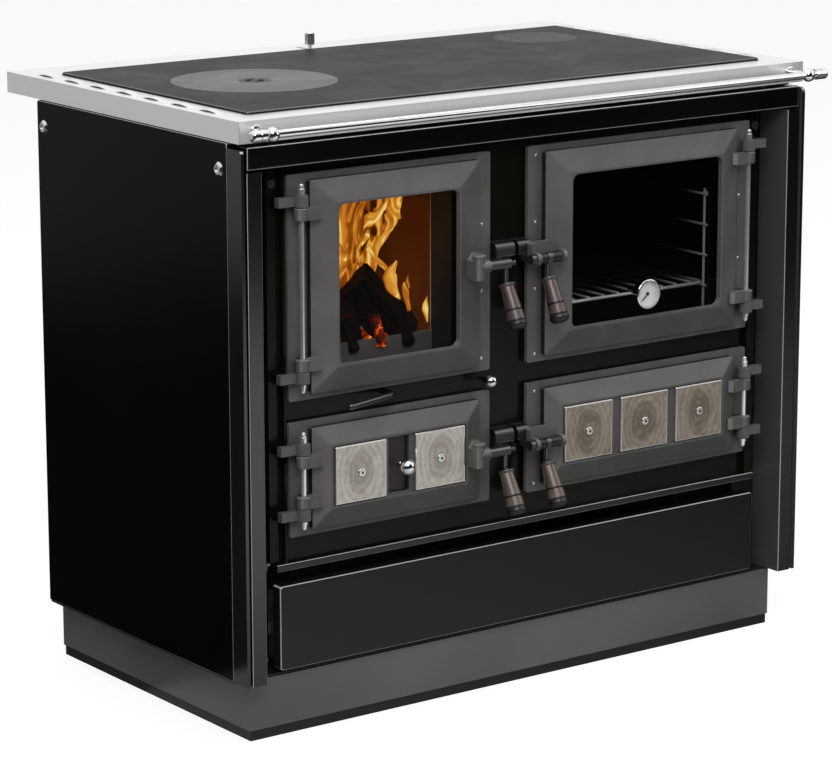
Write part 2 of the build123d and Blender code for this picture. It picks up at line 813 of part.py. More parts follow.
def make_hob_plate():
    hx = half_width - border_side - plate_gap
    y0 = hob_front + border_front + plate_gap
    y1 = hob_back - border_back - plate_gap
    plate = block(-hx, hx, y0, y1, plate_under, plate_surface)
    plate = fillet(plate.edges().filter_by(Axis.Z), plate_corner)
    plate = chamfer(plate.faces().sort_by(Axis.Z)[-1].edges(), plate_chamfer)
    plate -= disc_hole(ring_x, ring_y, ring_diameter, plate_surface)
    plate -= disc_hole(flue_cover_x, flue_cover_y, flue_cover_diameter, plate_surface)
    return plate


def make_ring_cover():
    cover = disc_cover(ring_x, ring_y, ring_diameter, plate_surface)
    return cover - disc_hole(ring_x, ring_y, lid_diameter, plate_surface)


def make_ring_lid():
    """Small centre lid with a dish, and a bar across it for the lifter."""
    lid = disc_cover(ring_x, ring_y, lid_diameter, plate_surface)
    dish_diameter = lid_diameter - 2 * lid_dish_rim
    dish = rod_z(ring_x, ring_y, plate_surface - lid_dish_depth, plate_surface + 1,
                 dish_diameter)
    bar = Pos(ring_x, ring_y, plate_surface) * Rot(0, 0, lid_bar_turn)
    bar *= Box(dish_diameter + 2, lid_bar_width, 2 * lid_dish_depth)
    return lid - (dish - bar)


def make_flue_cover():
    return disc_cover(flue_cover_x, flue_cover_y, flue_cover_diameter, plate_surface)


def make_front_rail():
    tube = rod_x(-rail_ball_x, rail_ball_x, rail_y, rail_z, rail_diameter)
    left = Pos(-rail_ball_x, rail_y, rail_z) * Sphere(rail_ball_diameter / 2)
    left += rod_y(-rail_ball_x, rail_y, hob_front, rail_z, rail_post_diameter)
    rosette = rod_y(-rail_ball_x, hob_front - rail_rosette_thick, hob_front, rail_z,
                    rail_rosette_diameter)
    left += fillet(rosette.edges().sort_by(Axis.Y)[0], rail_rosette_round)
    inner = -rail_ball_x - rail_ball_diameter / 2 - rail_neck
    left += rod_x(inner - 1, -rail_ball_x, rail_y, rail_z, rail_post_diameter)
    finial = rod_x(inner - rail_finial_length, inner, rail_y, rail_z, rail_finial_diameter)
    finial = fillet(finial.edges().sort_by(Axis.X)[0], rail_finial_round)
    groove_x = inner - rail_groove_set
    band = rod_x(groove_x - rail_groove_width, groove_x, rail_y, rail_z,
                 rail_finial_diameter + 2)
    band -= rod_x(groove_x - rail_groove_width - 1, groove_x + 1, rail_y, rail_z,
                  rail_finial_diameter - 2 * rail_groove_depth)
    left += finial - band
    return tube + left + mirrored(left)


# ---------------------------------------------------------------- firebox and grate
grate_middle = (fire_inner_left + fire_inner_right) / 2
grate_well_back = grate_well_length / 2
shaker_bar_y = -60.0


def hob_frame_notch(x0, x1):
    """Room for the ledge of the hob frame at the front of a shell."""
    return block(x0 - 1, x1 + 1, plate_back - 1, hob_front + border_front + plate_ledge,
                 hob_under, hob_height)


def make_firebox_shell():
    """Welded box from the drawer bay to the hob plate, with ash space below the grate."""
    x0, x1 = fire_inner_left, fire_inner_right
    w = fire_wall
    z0 = bay_top + bay_top_thick
    top = plate_under
    shell = block(x0 - w, x1 + w, plate_back, fire_back + w, z0, top)
    shell -= block(x0, x1, plate_back + w, fire_back, z0 + w, top + 1)
    for opening in (fire_opening, ash_opening):
        ox0, ox1, oz0, oz1 = opening
        shell -= block(ox0, ox1, plate_back - 1, plate_back + w + 1, oz0, oz1)
    slot_top = top - gas_slot_drop
    shell -= block(x1 - 1, x1 + w + 1, plate_back + gas_slot_front, fire_back - gas_slot_back,
                   slot_top - gas_slot_height, slot_top)
    rod_y0 = shaker_bar_y - shaker_travel - shaker_rod_diameter
    shell -= block(x1 - 1, x1 + w + 1, rod_y0, shaker_bar_y + shaker_rod_diameter,
                   shaker_z - shaker_rod_diameter, shaker_z + shaker_rod_diameter)
    shell -= rod_y(lever_x, plate_back - 1, plate_back + w + 1, lever_z,
                   lever_diameter + 2 * lever_hole_play)
    ledge_z = grate_top - grate_thick
    for a, b in ((x0, x0 + grate_ledge), (x1 - grate_ledge, x1)):
        shell += block(a, b, plate_back + w, fire_back, ledge_z - w, ledge_z)
    jamb = fire_jamb()
    shell += jamb
    shell += mirror(jamb, about=Plane.YZ.offset(grate_middle))
    return shell - hob_frame_notch(x0 - w, x1 + w)


def fire_jamb():
    """Left steel jamb: a channel between the doorway and the bricks, flush with them."""
    x0, x1 = fire_inner_left, fire_inner_left + brick_thick
    y0 = plate_back + fire_wall
    y1 = y0 + jamb_depth
    top = fire_opening[3] + jamb_wall
    jamb = block(x0, x1, y0, y1, grate_top, top)
    return jamb - block(x0 - 1, x1 - jamb_wall, y0 + jamb_wall, y1 - jamb_wall,
                        grate_top - 1, top + 1)


def brick_row(x0, x1, y0, y1):
    brick = block(x0, x1, y0, y1, grate_top, brick_top)
    return chamfer(brick.edges().filter_by(Axis.Z), brick_chamfer)


def make_firebricks():
    """Fireclay slabs: three along each side and two across the back."""
    y0 = plate_back + fire_wall + jamb_depth + jamb_gap
    y1 = fire_back
    length = (y1 - brick_thick - y0) / brick_rows
    bricks = []
    for n in range(brick_rows):
        a = y0 + n * length
        b = a + length - brick_joint
        bricks.append(brick_row(fire_inner_left, fire_inner_left + brick_thick, a, b))
        bricks.append(brick_row(fire_inner_right - brick_thick, fire_inner_right, a, b))
    middle = (fire_inner_left + fire_inner_right) / 2
    bricks.append(brick_row(fire_inner_left, middle - brick_joint / 2, y1 - brick_thick, y1))
    bricks.append(brick_row(middle + brick_joint / 2, fire_inner_right, y1 - brick_thick, y1))
    return bricks


def make_grate_frame():
    """Cast hearth plate with the well for the moving grate, and the log guard."""
    x0, x1 = fire_inner_left, fire_inner_right
    y0 = plate_back + fire_wall
    plate = block(x0, x1, y0, fire_back, grate_top - grate_thick, grate_top)
    well = grate_well_width / 2
    plate -= block(grate_middle - well, grate_middle + well, grate_well_back - grate_well_length,
                   grate_well_back, grate_top - grate_well_depth, grate_top + 1)
    lip = well - grate_lip
    plate -= block(grate_middle - lip, grate_middle + lip,
                   grate_well_back - grate_well_length + grate_lip,
                   grate_well_back - grate_lip, grate_top - grate_thick - 1, grate_top)
    y1 = y0 + jamb_depth
    guard = block(x0 + brick_thick + guard_gap, x1 - brick_thick - guard_gap,
                  y1 - guard_thick, y1, grate_top, grate_top + guard_height)
    return plate + guard


def make_grate_shaker():
    """Slotted moving grate that slides in the well."""
    half = grate_well_width / 2 - grate_play
    y1 = grate_well_back - grate_play
    y0 = y1 - grate_bar_length
    z0 = grate_top - grate_well_depth + grate_play / 2
    z1 = grate_top - grate_bar_drop
    bars = block(grate_middle - half, grate_middle + half, y0, y1, z0, z1)
    pitch = 2 * (half - grate_border) / grate_slots
    for n in range(grate_slots):
        x = grate_middle - half + grate_border + (n + 0.5) * pitch
        slot = Pos(x, (y0 + y1) / 2, z0 - 1) * Rot(0, 0, 90)
        slot *= extrude(SlotOverall(grate_bar_length - 2 * grate_slot_margin, grate_slot_width),
                        amount=z1 - z0 + 2)
        bars -= slot
    tail_x = grate_middle + half - grate_tail_set
    tail = block(tail_x - grate_tail_width, tail_x, shaker_bar_y - grate_tail_half,
                 shaker_bar_y + grate_tail_half, shaker_z - grate_tail_drop, z0 + 0.5)
    return bars + tail


def make_shaker_rod():
    """Pull rod with ball knob, and the cross bar that reaches the grate."""
    y0 = plate_face - shaker_stand
    rod = rod_y(shaker_x, y0, shaker_bar_y + shaker_rod_diameter / 2, shaker_z,
                shaker_rod_diameter)
    end_x = grate_middle + grate_well_width / 2 - grate_play - grate_tail_set
    rod += rod_x(end_x, shaker_x, shaker_bar_y, shaker_z, shaker_rod_diameter)
    rod += Pos(shaker_x, y0, shaker_z) * Sphere(shaker_ball_diameter / 2)
    collar = rod_y(shaker_x, y0 + shaker_ball_diameter / 2 - 1, y0 + shaker_ball_diameter / 2 + 3,
                   shaker_z, 10.0)
    return rod + collar


def make_ash_pan():
    x0 = fire_inner_left + pan_side_play + opening_inset / 2
    x1 = fire_inner_right - pan_side_play - opening_inset / 2
    y0 = plate_back + pan_front_gap
    z0 = bay_top + bay_top_thick + fire_wall
    lift = ash_opening[2] + pan_lift
    pan = block(x0, x1, y0, y0 + pan_depth, lift, lift + pan_height)
    pan -= block(x0 + pan_wall, x1 - pan_wall, y0 + pan_wall, y0 + pan_depth - pan_wall,
                 lift + pan_wall, lift + pan_height + 1)
    a, b = x0 + pan_foot_set, x1 - pan_foot_set
    for x in (a, b - pan_foot_thick):
        pan += block(x, x + pan_foot_thick, y0, y0 + pan_depth, z0, lift)
    lip = block(a, b, y0 - pan_lip, y0, lift + pan_height - pan_wall, lift + pan_height)
    lip += block(a, b, y0 - pan_lip, y0 - pan_lip + pan_wall,
                 lift + pan_height - pan_lip_height, lift + pan_height)
    return pan + lip


def make_air_lever():
    """Secondary air: splayed finger bar, stem through the plate, shutter inside."""
    elbow_y = plate_face - lever_stand
    end_x = lever_x - lever_reach
    end_y = elbow_y - lever_splay
    shutter_y = plate_back + fire_wall + shutter_gap + lever_travel
    path = FilletPolyline((lever_x, shutter_y + shutter_thick, lever_z),
                          (lever_x, elbow_y, lever_z), (end_x, end_y, lever_z),
                          radius=lever_bend)
    section = Plane(origin=path @ 0, z_dir=path % 0) * Circle(lever_diameter / 2)
    bar = sweep(section, path=path)
    bar += Pos(end_x, end_y, lever_z) * Sphere(lever_diameter / 2)
    return bar + block(lever_x - shutter_half, lever_x + shutter_half, shutter_y,
                       shutter_y + shutter_thick, lever_z - shutter_bottom,
                       lever_z + shutter_top)


# ---------------------------------------------------------------- oven, storage, flue
oven_left = -oven_opening[1]
oven_right = -oven_opening[0]


def make_oven_shell():
    w = oven_wall
    z0, z1 = oven_opening[2], oven_opening[3]
    back = plate_back + oven_depth
    shell = block(oven_left - w, oven_right + w, plate_back, back, z0 - w, z1 + w)
    shell -= block(oven_left, oven_right, plate_back - 1, back - w, z0, z1)
    for x in (oven_left + oven_foot_set, oven_right - oven_foot_set - oven_foot_width):
        shell += block(x, x + oven_foot_width, plate_back + oven_foot_gap,
                       back - oven_foot_gap, casing_floor, z0 - w)
    return shell


def make_rack_guides():
    """Chrome wire ladders on the oven walls, two legs each."""
    x = oven_left + guide_wire / 2
    y0 = plate_back + guide_end_gap
    y1 = plate_back + oven_depth - guide_end_gap
    z0 = rack_height - guide_wire / 2 - rack_wire / 2 - rack_rest
    more = int((oven_opening[3] - guide_headroom - z0) / guide_spacing)
    ladder = rod_y(x + guide_wire, y0, y1, z0, guide_wire)
    for n in range(more):
        ladder += rod_y(x + guide_wire, y0, y1, z0 + (n + 1) * guide_spacing, guide_wire)
    top = z0 + more * guide_spacing + guide_leg_rise
    for y in (y0 + guide_leg_set, y1 - guide_leg_set):
        ladder += rod_z(x + guide_wire / 2, y, oven_opening[2], top, guide_wire)
        ladder += rod_x(oven_left, x + guide_wire, y, top - guide_stay_drop, guide_wire)
    middle = (oven_left + oven_right) / 2
    return [ladder, mirror(ladder, about=Plane.YZ.offset(middle))]


def make_oven_rack():
    """Wire rack: a rounded frame with bars welded on top, resting on the guides."""
    x0 = oven_left + guide_wire * 1.5
    x1 = oven_right - guide_wire * 1.5
    y0 = plate_back + rack_setback
    y1 = y0 + rack_depth
    outline = RectangleRounded(x1 - x0, y1 - y0, rack_corner).wire()
    outline = Pos((x0 + x1) / 2, (y0 + y1) / 2, rack_height) * outline
    section = Plane(origin=outline @ 0, z_dir=outline % 0) * Circle(rack_wire / 2)
    rack = sweep(section, path=outline)
    pitch = (x1 - x0) / (rack_bars + 1)
    bar_z = rack_height + rack_wire / 2 + rack_bar / 2 - weld_sink
    for n in range(rack_bars):
        rack += rod_y(x0 + (n + 1) * pitch, y0 - 2, y1 + 2, bar_z, rack_bar)
    return rack


def make_storage_box():
    w = storage_wall
    x0, x1 = -storage_opening[1], -storage_opening[0]
    z0, z1 = storage_opening[2], storage_opening[3]
    y0, y1 = plate_back, plate_back + storage_depth
    box = block(x0 - w, x1 + w, y0, y1, bay_top + bay_top_thick, casing_floor - casing_wall)
    box -= block(x0, x1, y0 - 1, y1 - w, z0, z1)
    box -= block(x0, x1, y0 - 1, y1 - w, bay_top, z0 - w)
    return box - block(x0, x1, y0 - 1, y1 - w, z1 + w, casing_floor)


def make_flue_casing():
    """Gas-tight jacket round the oven, with the passage to the flue."""
    w = casing_wall
    x0 = fire_inner_right + fire_wall
    top = plate_under
    z0 = casing_floor - w
    jacket = block(x0, casing_right + w, plate_back, casing_back + w, z0, top)
    jacket -= block(x0 - 1, casing_right, plate_back + w, casing_back, casing_floor, top + 1)
    ox0, ox1 = oven_left - oven_wall, oven_right + oven_wall
    jacket -= block(ox0, ox1, plate_back - 1, plate_back + w + 1,
                    oven_opening[2] - oven_wall, oven_opening[3] + oven_wall)
    jacket -= rod_y(flue_x, casing_back - 1, casing_back + w + 1, flue_z,
                    flue_diameter - 2 * flue_wall)
    jacket -= block(shaker_x - rod_tunnel_left, shaker_x + rod_tunnel_right, plate_back - 1,
                    shaker_bar_y + rod_tunnel_left, shaker_z - rod_tunnel_half,
                    shaker_z + rod_tunnel_half)
    guide_y1 = casing_back
    shelf_z = hob_under - damper_shelf_drop
    hole_x = damper_plate_width / 2 - 12
    shelf = block(damper_x - damper_plate_width / 2 - 14, damper_x + damper_plate_width / 2 + 14,
                  0, guide_y1, shelf_z, shelf_z + w)
    shelf -= block(damper_x - hole_x, damper_x + hole_x, 60, 130, shelf_z - 1, shelf_z + w + 1)
    jacket += shelf
    slot = damper_plate_width / 2 + 1
    jacket -= block(damper_x - slot, damper_x + slot, casing_back - 1, casing_back + w + 1,
                    shelf_z + w, shelf_z + w + damper_plate_thick + 1)
    return jacket - hob_frame_notch(x0 - 1, casing_right + w)


def make_flue_collar():
    pipe = rod_y(flue_x, casing_back + casing_wall, flue_end, flue_z, flue_diameter)
    half = flue_flange / 2
    seat = casing_back + casing_wall
    flange = slab(seat, seat + flue_flange_thick, flue_x - half, flue_x + half,
                  flue_z - half, flue_z + half, flue_flange_round)
    bead_y = body_back + flue_bead_set
    bead = rod_y(flue_x, bead_y, bead_y + flue_bead_width, flue_z,
                 flue_diameter + 2 * flue_bead_rise)
    bore = rod_y(flue_x, casing_back, flue_end + 1, flue_z, flue_diameter - 2 * flue_wall)
    return pipe + flange + bead - bore


def make_damper_slide():
    z0 = hob_under - damper_shelf_drop + casing_wall + damper_play
    half = damper_plate_width / 2
    y1 = damper_y + 12
    plate = block(damper_x - half, damper_x + half, y1 - damper_plate_reach, y1, z0,
                  z0 + damper_plate_thick)
    stem = rod_z(damper_x, damper_y, z0 + damper_plate_thick, hob_height + damper_stand,
                 damper_stem_diameter)
    return plate + stem


def make_damper_knob():
    z0 = hob_height + damper_stand
    knob = rod_z(damper_x, damper_y, z0, z0 + damper_knob_height, damper_knob_diameter)
    knob = fillet(knob.edges().filter_by(GeomType.CIRCLE), 1.2)
    groove_count = 18
    for n in range(groove_count):
        angle = 360 / groove_count * n
        cut = Rot(0, 0, angle) * Pos(damper_knob_diameter / 2 + 0.3, 0, damper_knob_height / 2)
        cut *= Rot(0, 0, 45) * Box(1.4, 1.4, damper_knob_height - 5)
        knob -= Pos(damper_x, damper_y, z0) * cut
    return knob


# ---------------------------------------------------------------- doors
def raised_frame(latch_x, z0, z1):
    """Edges of the raised part of a left-hand door."""
    return (-hinge_x - hinge_edge + hinge_margin, latch_x - latch_margin,
            z0 + bottom_margin, z1 - top_margin)


def door_body(latch_x, z0, z1, inner, knuckles):
    """Casting of a left-hand door before its window or field is cut.
    inner gives the edges of the lip that the raised frame slopes up to."""
    x0 = -hinge_x - hinge_edge
    flange = slab(flange_front, flange_back, x0, latch_x, z0, z1, 3.0)
    rx0, rx1, rz0, rz1 = raised_frame(latch_x, z0, z1)
    step = slab(raised_front, flange_front, rx0, rx1, rz0, rz1, 3.0)
    slope = loft([face_at(raised_front, rx0, rx1, rz0, rz1, 3.0),
                  face_at(lip_front, *inner, 3.0)])
    body = flange + step + slope
    for top in knuckles:
        bottom = top - knuckle_height
        arm = block(-hinge_x, -hinge_x + arm_reach, hinge_y - arm_front, flange_front,
                    bottom, top)
        arm = chamfer(arm.edges().filter_by(Axis.Z).sort_by(Axis.Y)[:2].sort_by(Axis.X)[-1], 5.0)
        body += arm + barrel(bottom, top)
        body -= rod_z(-hinge_x, hinge_y, bottom - 1, top + 1,
                      pin_diameter + 2 * pin_running)
    return body


upper_knuckles = (upper_knuckle_top, upper_knuckle_bottom + knuckle_height)
lower_knuckles = (lower_knuckle_top, lower_knuckle_bottom + knuckle_height)


def window_of(latch_x, hinge_side, latch_side):
    rx0, rx1, rz0, rz1 = raised_frame(latch_x, upper_door_bottom, upper_door_top)
    return (rx0 + hinge_side, rx1 - latch_side, rz0 + window_margin_z, rz1 - window_margin_z)


fire_window = window_of(left_latch_x, fire_window_hinge, fire_window_latch)
oven_window = window_of(-right_latch_x, oven_window_hinge, oven_window_latch)


def grown(edges, by):
    x0, x1, z0, z1 = edges
    return (x0 - by, x1 + by, z0 - by, z1 + by)


def glazed_door(latch_x, window, opening):
    """Upper door: window, glass pocket behind it and seal groove round the back."""
    lip = grown(window, 3.0)
    body = door_body(latch_x, upper_door_bottom, upper_door_top, lip, upper_knuckles)
    body -= slab(lip_front - 1, flange_back + 1, *window, window_radius)
    pocket = grown(window, glass_lap + glass_play)
    body -= slab(glass_front, flange_back + 1, *pocket)
    body -= slab(glass_back, flange_back + 1, *grown(pocket, clip_screw + 1))
    hollow = grown(raised_frame(latch_x, upper_door_bottom, upper_door_top), -casting_wall)
    body -= slab(raised_front + casting_wall, flange_back + 1, *hollow)
    groove = grown(opening, seal_width / 2)
    body -= ring_slab(flange_back - seal_groove, flange_back + 1, *groove, seal_width)
    return body


def door_seal(opening):
    """Square rope seal in the back of a left-hand door, just clear of the plate."""
    groove = grown(opening, seal_width / 2 + 0.2)
    return ring_slab(flange_back - seal_groove, plate_face - seal_clearance, *groove,
                     seal_width - 0.4)


def door_glass(window):
    return slab(glass_front, glass_back, *grown(window, glass_lap), 2.0)


def glass_clips(window):
    """Two retaining strips behind the glass, each with its screws."""
    x0, x1, z0, z1 = grown(window, glass_lap + glass_play)
    clips = []
    for z in (z0 - clip_screw, z1 + clip_screw - clip_height):
        strip = block(x0 + 12, x1 - 12, glass_back, glass_back + clip_thick, z, z + clip_height)
        clips.append(strip)
    return clips


def boss_left(z):
    """Handle boss of a left-hand door: capped post, socket for the pivot, web to the door."""
    post_x = left_latch_x - boss_set
    end_x = left_latch_x - socket_set
    half = boss_height / 2
    radius = boss_post_diameter / 2
    web = block(post_x - radius, post_x + radius, handle_y, raised_front, z - half, z + half)
    web = chamfer(web.edges().filter_by(Axis.Y).sort_by(Axis.Z)[-2:].sort_by(Axis.X)[0],
                  boss_slope)
    post = rod_z(post_x, handle_y, z - half, z + half, boss_post_diameter)
    cap = rod_z(post_x, handle_y, z + half - boss_cap_height, z + half, boss_cap_diameter)
    cap = chamfer(cap.edges().filter_by(GeomType.CIRCLE), boss_cap_height / 4)
    socket = rod_x(post_x, end_x, handle_y, z, socket_diameter)
    back = block(post_x, end_x, handle_y, raised_front, z - socket_diameter / 2,
                 z + socket_diameter / 2)
    bore = rod_x(end_x - pivot_engage - 1, end_x + 1, handle_y, z,
                 pivot_diameter + 2 * pin_running)
    return web + post + cap + socket + back, bore


bracket_free = right_latch_x - bracket_overhang
bracket_inner = bracket_free + bracket_length


def boss_right(z):
    """Handle bracket of a right-hand door, drawn mirrored: a shield with two lugs."""
    x0, x1 = -bracket_inner, -bracket_free
    base_front = handle_y + spring_diameter / 2 + spring_clearance
    base = block(x0, x1, base_front, bracket_back, z - bracket_drop, z + bracket_rise)
    top = base.edges().filter_by(Axis.Y).sort_by(Axis.Z)[-2:].sort_by(Axis.X)
    base = fillet(top[0], bracket_round)
    top = base.edges().filter_by(Axis.Y).sort_by(Axis.X)[-2:].sort_by(Axis.Z)
    base = fillet(top[-1], bracket_corner)
    foot = block(x0 + bracket_foot_inset, -right_latch_x, bracket_back - 1, flange_front,
                 z - bracket_drop, z + bracket_drop)
    bracket = base + foot
    for x in (x0, x1 - lug_thick):
        bracket += block(x, x + lug_thick, handle_y, base_front + 1, z - lug_radius, z + lug_radius)
        bracket += rod_x(x, x + lug_thick, handle_y, z, 2 * lug_radius)
    bore = rod_x(x0 - 1, x1 + 1, handle_y, z, pivot_diameter + 2 * pin_running)
    return bracket, bore


def make_fire_door():
    body = glazed_door(left_latch_x, fire_window, fire_opening)
    boss, bore = boss_left(upper_handle_z)
    return body + boss - bore


def make_oven_door():
    body = glazed_door(-right_latch_x, oven_window, oven_opening)
    boss, bore = boss_right(upper_handle_z)
    return mirrored(body + boss - bore)


def field_of(latch_x):
    return grown(raised_frame(latch_x, lower_door_bottom, lower_door_top), -field_margin)


def panelled_door(latch_x, opening):
    """Lower door: sloping frame, shallow field for the insert plates, hollow back."""
    field = field_of(latch_x)
    body = door_body(latch_x, lower_door_bottom, lower_door_top, grown(field, 3.0),
                     lower_knuckles)
    body -= slab(lip_front - 1, lip_front + field_depth, *field, 4.0)
    hollow = grown(field, field_wall)
    body -= slab(lip_front + field_depth + field_wall, flange_back + 1, *hollow, 4.0)
    ridge = grown(opening, 4.0)
    return body + ring_slab(flange_back - 1, plate_face - seal_clearance, *ridge, ridge_width)


field_floor = lip_front + field_depth
field_back = field_floor + field_wall
air_window_half = air_travel + air_stem_diameter / 2 + air_window_play
insert_z = (lower_door_bottom + bottom_margin + lower_door_top - top_margin) / 2
ash_middle = (raised_frame(left_latch_x, 0, 1)[0] + raised_frame(left_latch_x, 0, 1)[1]) / 2
storage_middle = -(raised_frame(-right_latch_x, 0, 1)[0]
                   + raised_frame(-right_latch_x, 0, 1)[1]) / 2


def make_ash_door():
    """Lower left door, with a window for the primary air between its insert plates."""
    body = panelled_door(left_latch_x, ash_opening)
    body -= slab(field_floor - 1, field_back + 1, ash_middle - air_window_half,
                 ash_middle + air_window_half, insert_z - air_window_height / 2,
                 insert_z + air_window_height / 2, 2.0)
    edge = air_slide_height / 2 + air_slide_play
    channel = air_slide_thick + 2 * air_slide_play
    half = air_guide_length / 2
    guide = block(ash_middle - half, ash_middle + half, field_back,
                  field_back + channel + air_guide_lip, insert_z + edge - air_guide_lip,
                  insert_z + edge + air_guide_width)
    guide -= block(ash_middle - half - 1, ash_middle + half + 1, field_back - 1,
                   field_back + channel, insert_z, insert_z + edge)
    body += guide + mirror(guide, about=Plane.XY.offset(insert_z))
    boss, bore = boss_left(lower_handle_z)
    return body + boss - bore


def make_storage_door():
    body = panelled_door(-right_latch_x, storage_opening)
    boss, bore = boss_right(lower_handle_z)
    return mirrored(body + boss - bore)


def insert_plate(x, width):
    plate = slab(field_floor - insert_thick, field_floor, x - width / 2, x + width / 2,
                 insert_z - insert_height / 2, insert_z + insert_height / 2, 1.5)
    front = plate.faces().sort_by(Axis.Y)[0].edges()
    return chamfer(front, 1.0)


def insert_screw(x):
    y = field_floor - insert_thick
    head = rod_y(x, y - insert_screw_height, y, insert_z, insert_screw_diameter)
    return fillet(head.edges().sort_by(Axis.Y)[0], insert_screw_round)


def make_ash_plates():
    shift = (ash_plate_gap + ash_plate_width) / 2
    pieces = []
    for x in (ash_middle - shift, ash_middle + shift):
        pieces += [insert_plate(x, ash_plate_width), insert_screw(x)]
    return pieces


def make_storage_plates():
    pitch = storage_plate_width + storage_plate_gap
    pieces = []
    for n in (-1, 0, 1):
        x = storage_middle + n * pitch
        pieces += [insert_plate(x, storage_plate_width), insert_screw(x)]
    return pieces


def make_air_slide():
    """Primary air: plate in its guides behind the ash door, two ports, stem and ball knob."""
    y0 = field_back + air_slide_play
    y1 = y0 + air_slide_thick
    plate = block(ash_middle - air_slide_width / 2, ash_middle + air_slide_width / 2, y0, y1,
                  insert_z - air_slide_height / 2, insert_z + air_slide_height / 2)
    port_x = ash_middle + air_window_half + air_port_cover
    port = slab(y0 - 1, y1 + 1, port_x, port_x + air_port_width,
                insert_z - air_port_height / 2, insert_z + air_port_height / 2,
                air_port_width / 3)
    plate -= port
    plate -= mirror(port, about=Plane.YZ.offset(ash_middle))
    ball_y = field_floor - insert_thick - air_knob_proud
    stem = rod_y(ash_middle, ball_y, y0, insert_z, air_stem_diameter)
    collar_y = ball_y + air_knob_diameter / 2 - air_collar_length / 2
    collar = rod_y(ash_middle, collar_y, collar_y + air_collar_length, insert_z,
                   air_collar_diameter)
    knob = Pos(ash_middle, ball_y, insert_z) * Sphere(air_knob_diameter / 2)
    return plate + stem + collar + knob


def make_hinge_pins():
    """Chrome pins with finials: one through the lugs of each door."""
    pins = []
    spans = ((upper_knuckle_top, upper_knuckle_bottom), (lower_knuckle_top, lower_knuckle_bottom))
    for top, bottom in spans:
        z1 = top + knuckle_gap + knuckle_height
        z0 = bottom - knuckle_gap - knuckle_height
        tip_z = z1 + pin_nut_height + pin_tip_rise
        pin = rod_z(-hinge_x, hinge_y, z0 - pin_foot, tip_z - 1, pin_diameter)
        nut = rod_z(-hinge_x, hinge_y, z1, z1 + pin_nut_height, pin_nut_diameter)
        nut = fillet(nut.edges().filter_by(GeomType.CIRCLE), 1.0)
        tip = Pos(-hinge_x, hinge_y, tip_z) * Sphere(pin_tip_diameter / 2)
        foot = rod_z(-hinge_x, hinge_y, z0 - pin_foot_collar, z0, pin_nut_diameter)
        foot += Pos(-hinge_x, hinge_y, z0 - pin_foot) * Sphere(pin_tip_diameter / 2)
        pins += both_sides(pin + nut + tip + foot)
    return pins


# ---------------------------------------------------------------- handles
def handle_stem(x, z):
    """Straight stem and the slanting tang that the grip is pushed onto."""
    knee = Pos(x, handle_y, z - stem_drop)
    stem = rod_z(x, handle_y, z - stem_drop, z, stem_diameter)
    tang = knee * Rot(-grip_slant, 0, 0) * Pos(0, 0, -tang_length / 2)
    tang *= Cylinder(tang_diameter / 2, tang_length)
    return stem + tang + knee * Sphere(stem_diameter / 2)


def make_left_lever(z):
    """Lever of a left-hand door: hub, nose under the catch, pin end and stem."""
    hub_x0 = left_latch_x - socket_set + handle_play
    hub_x1 = left_grip_x + hub_overrun
    end_x = hub_x1 + pin_end_length
    lever = rod_x(hub_x0, hub_x1, handle_y, z, hub_diameter)
    lever += rod_x(hub_x0 - pivot_engage, hub_x0, handle_y, z, pivot_diameter)
    lever += rod_x(hub_x1, end_x, handle_y, z, pin_end_diameter)
    lever += rod_x(end_x - pin_head_length, end_x, handle_y, z, pin_head_diameter)
    lever += nose_of(left_latch_x + nose_set, z)
    return lever + handle_stem(left_grip_x, z)


def nose_of(x, z):
    """Rounded tongue from the hub towards the front plate."""
    tip = handle_y + nose_reach - nose_height / 2
    nose = block(x, x + nose_width, handle_y, tip, z - nose_height / 2, z + nose_height / 2)
    return nose + rod_x(x, x + nose_width, tip, z, nose_height)


def make_right_lever(z):
    """Lever of a right-hand door: shaft through both lugs, hub, nose and stem."""
    outer_x = bracket_free - handle_play - nose_width
    lever = rod_x(outer_x, bracket_inner + shaft_overrun, handle_y, z, pivot_diameter)
    lever += rod_x(outer_x, bracket_free - handle_play, handle_y, z, hub_diameter)
    band = spring_band / 2
    lever += rod_x(right_grip_x - band, right_grip_x + band, handle_y, z, spring_diameter)
    lever += rod_x(bracket_free + lug_thick + handle_play,
                   bracket_inner - lug_thick - handle_play, handle_y, z, spring_core)
    lever += nose_of(outer_x, z)
    return lever + handle_stem(right_grip_x, z)


def biarc(p0, t0, p1, t1):
    """Two arcs that meet without a corner, from p0 along t0 to p1 along t1."""
    v = p1 - p0
    t = t0 + t1
    spread = 2 * (1 - t0.dot(t1))
    b = v.dot(t)
    d = (-b + math.sqrt(b * b + spread * v.dot(v))) / spread
    joint = (p0 + t0 * d + p1 - t1 * d) * 0.5
    first = Edge.make_tangent_arc(p0, t0, joint)
    return [first, Edge.make_tangent_arc(joint, first % 1, p1)]


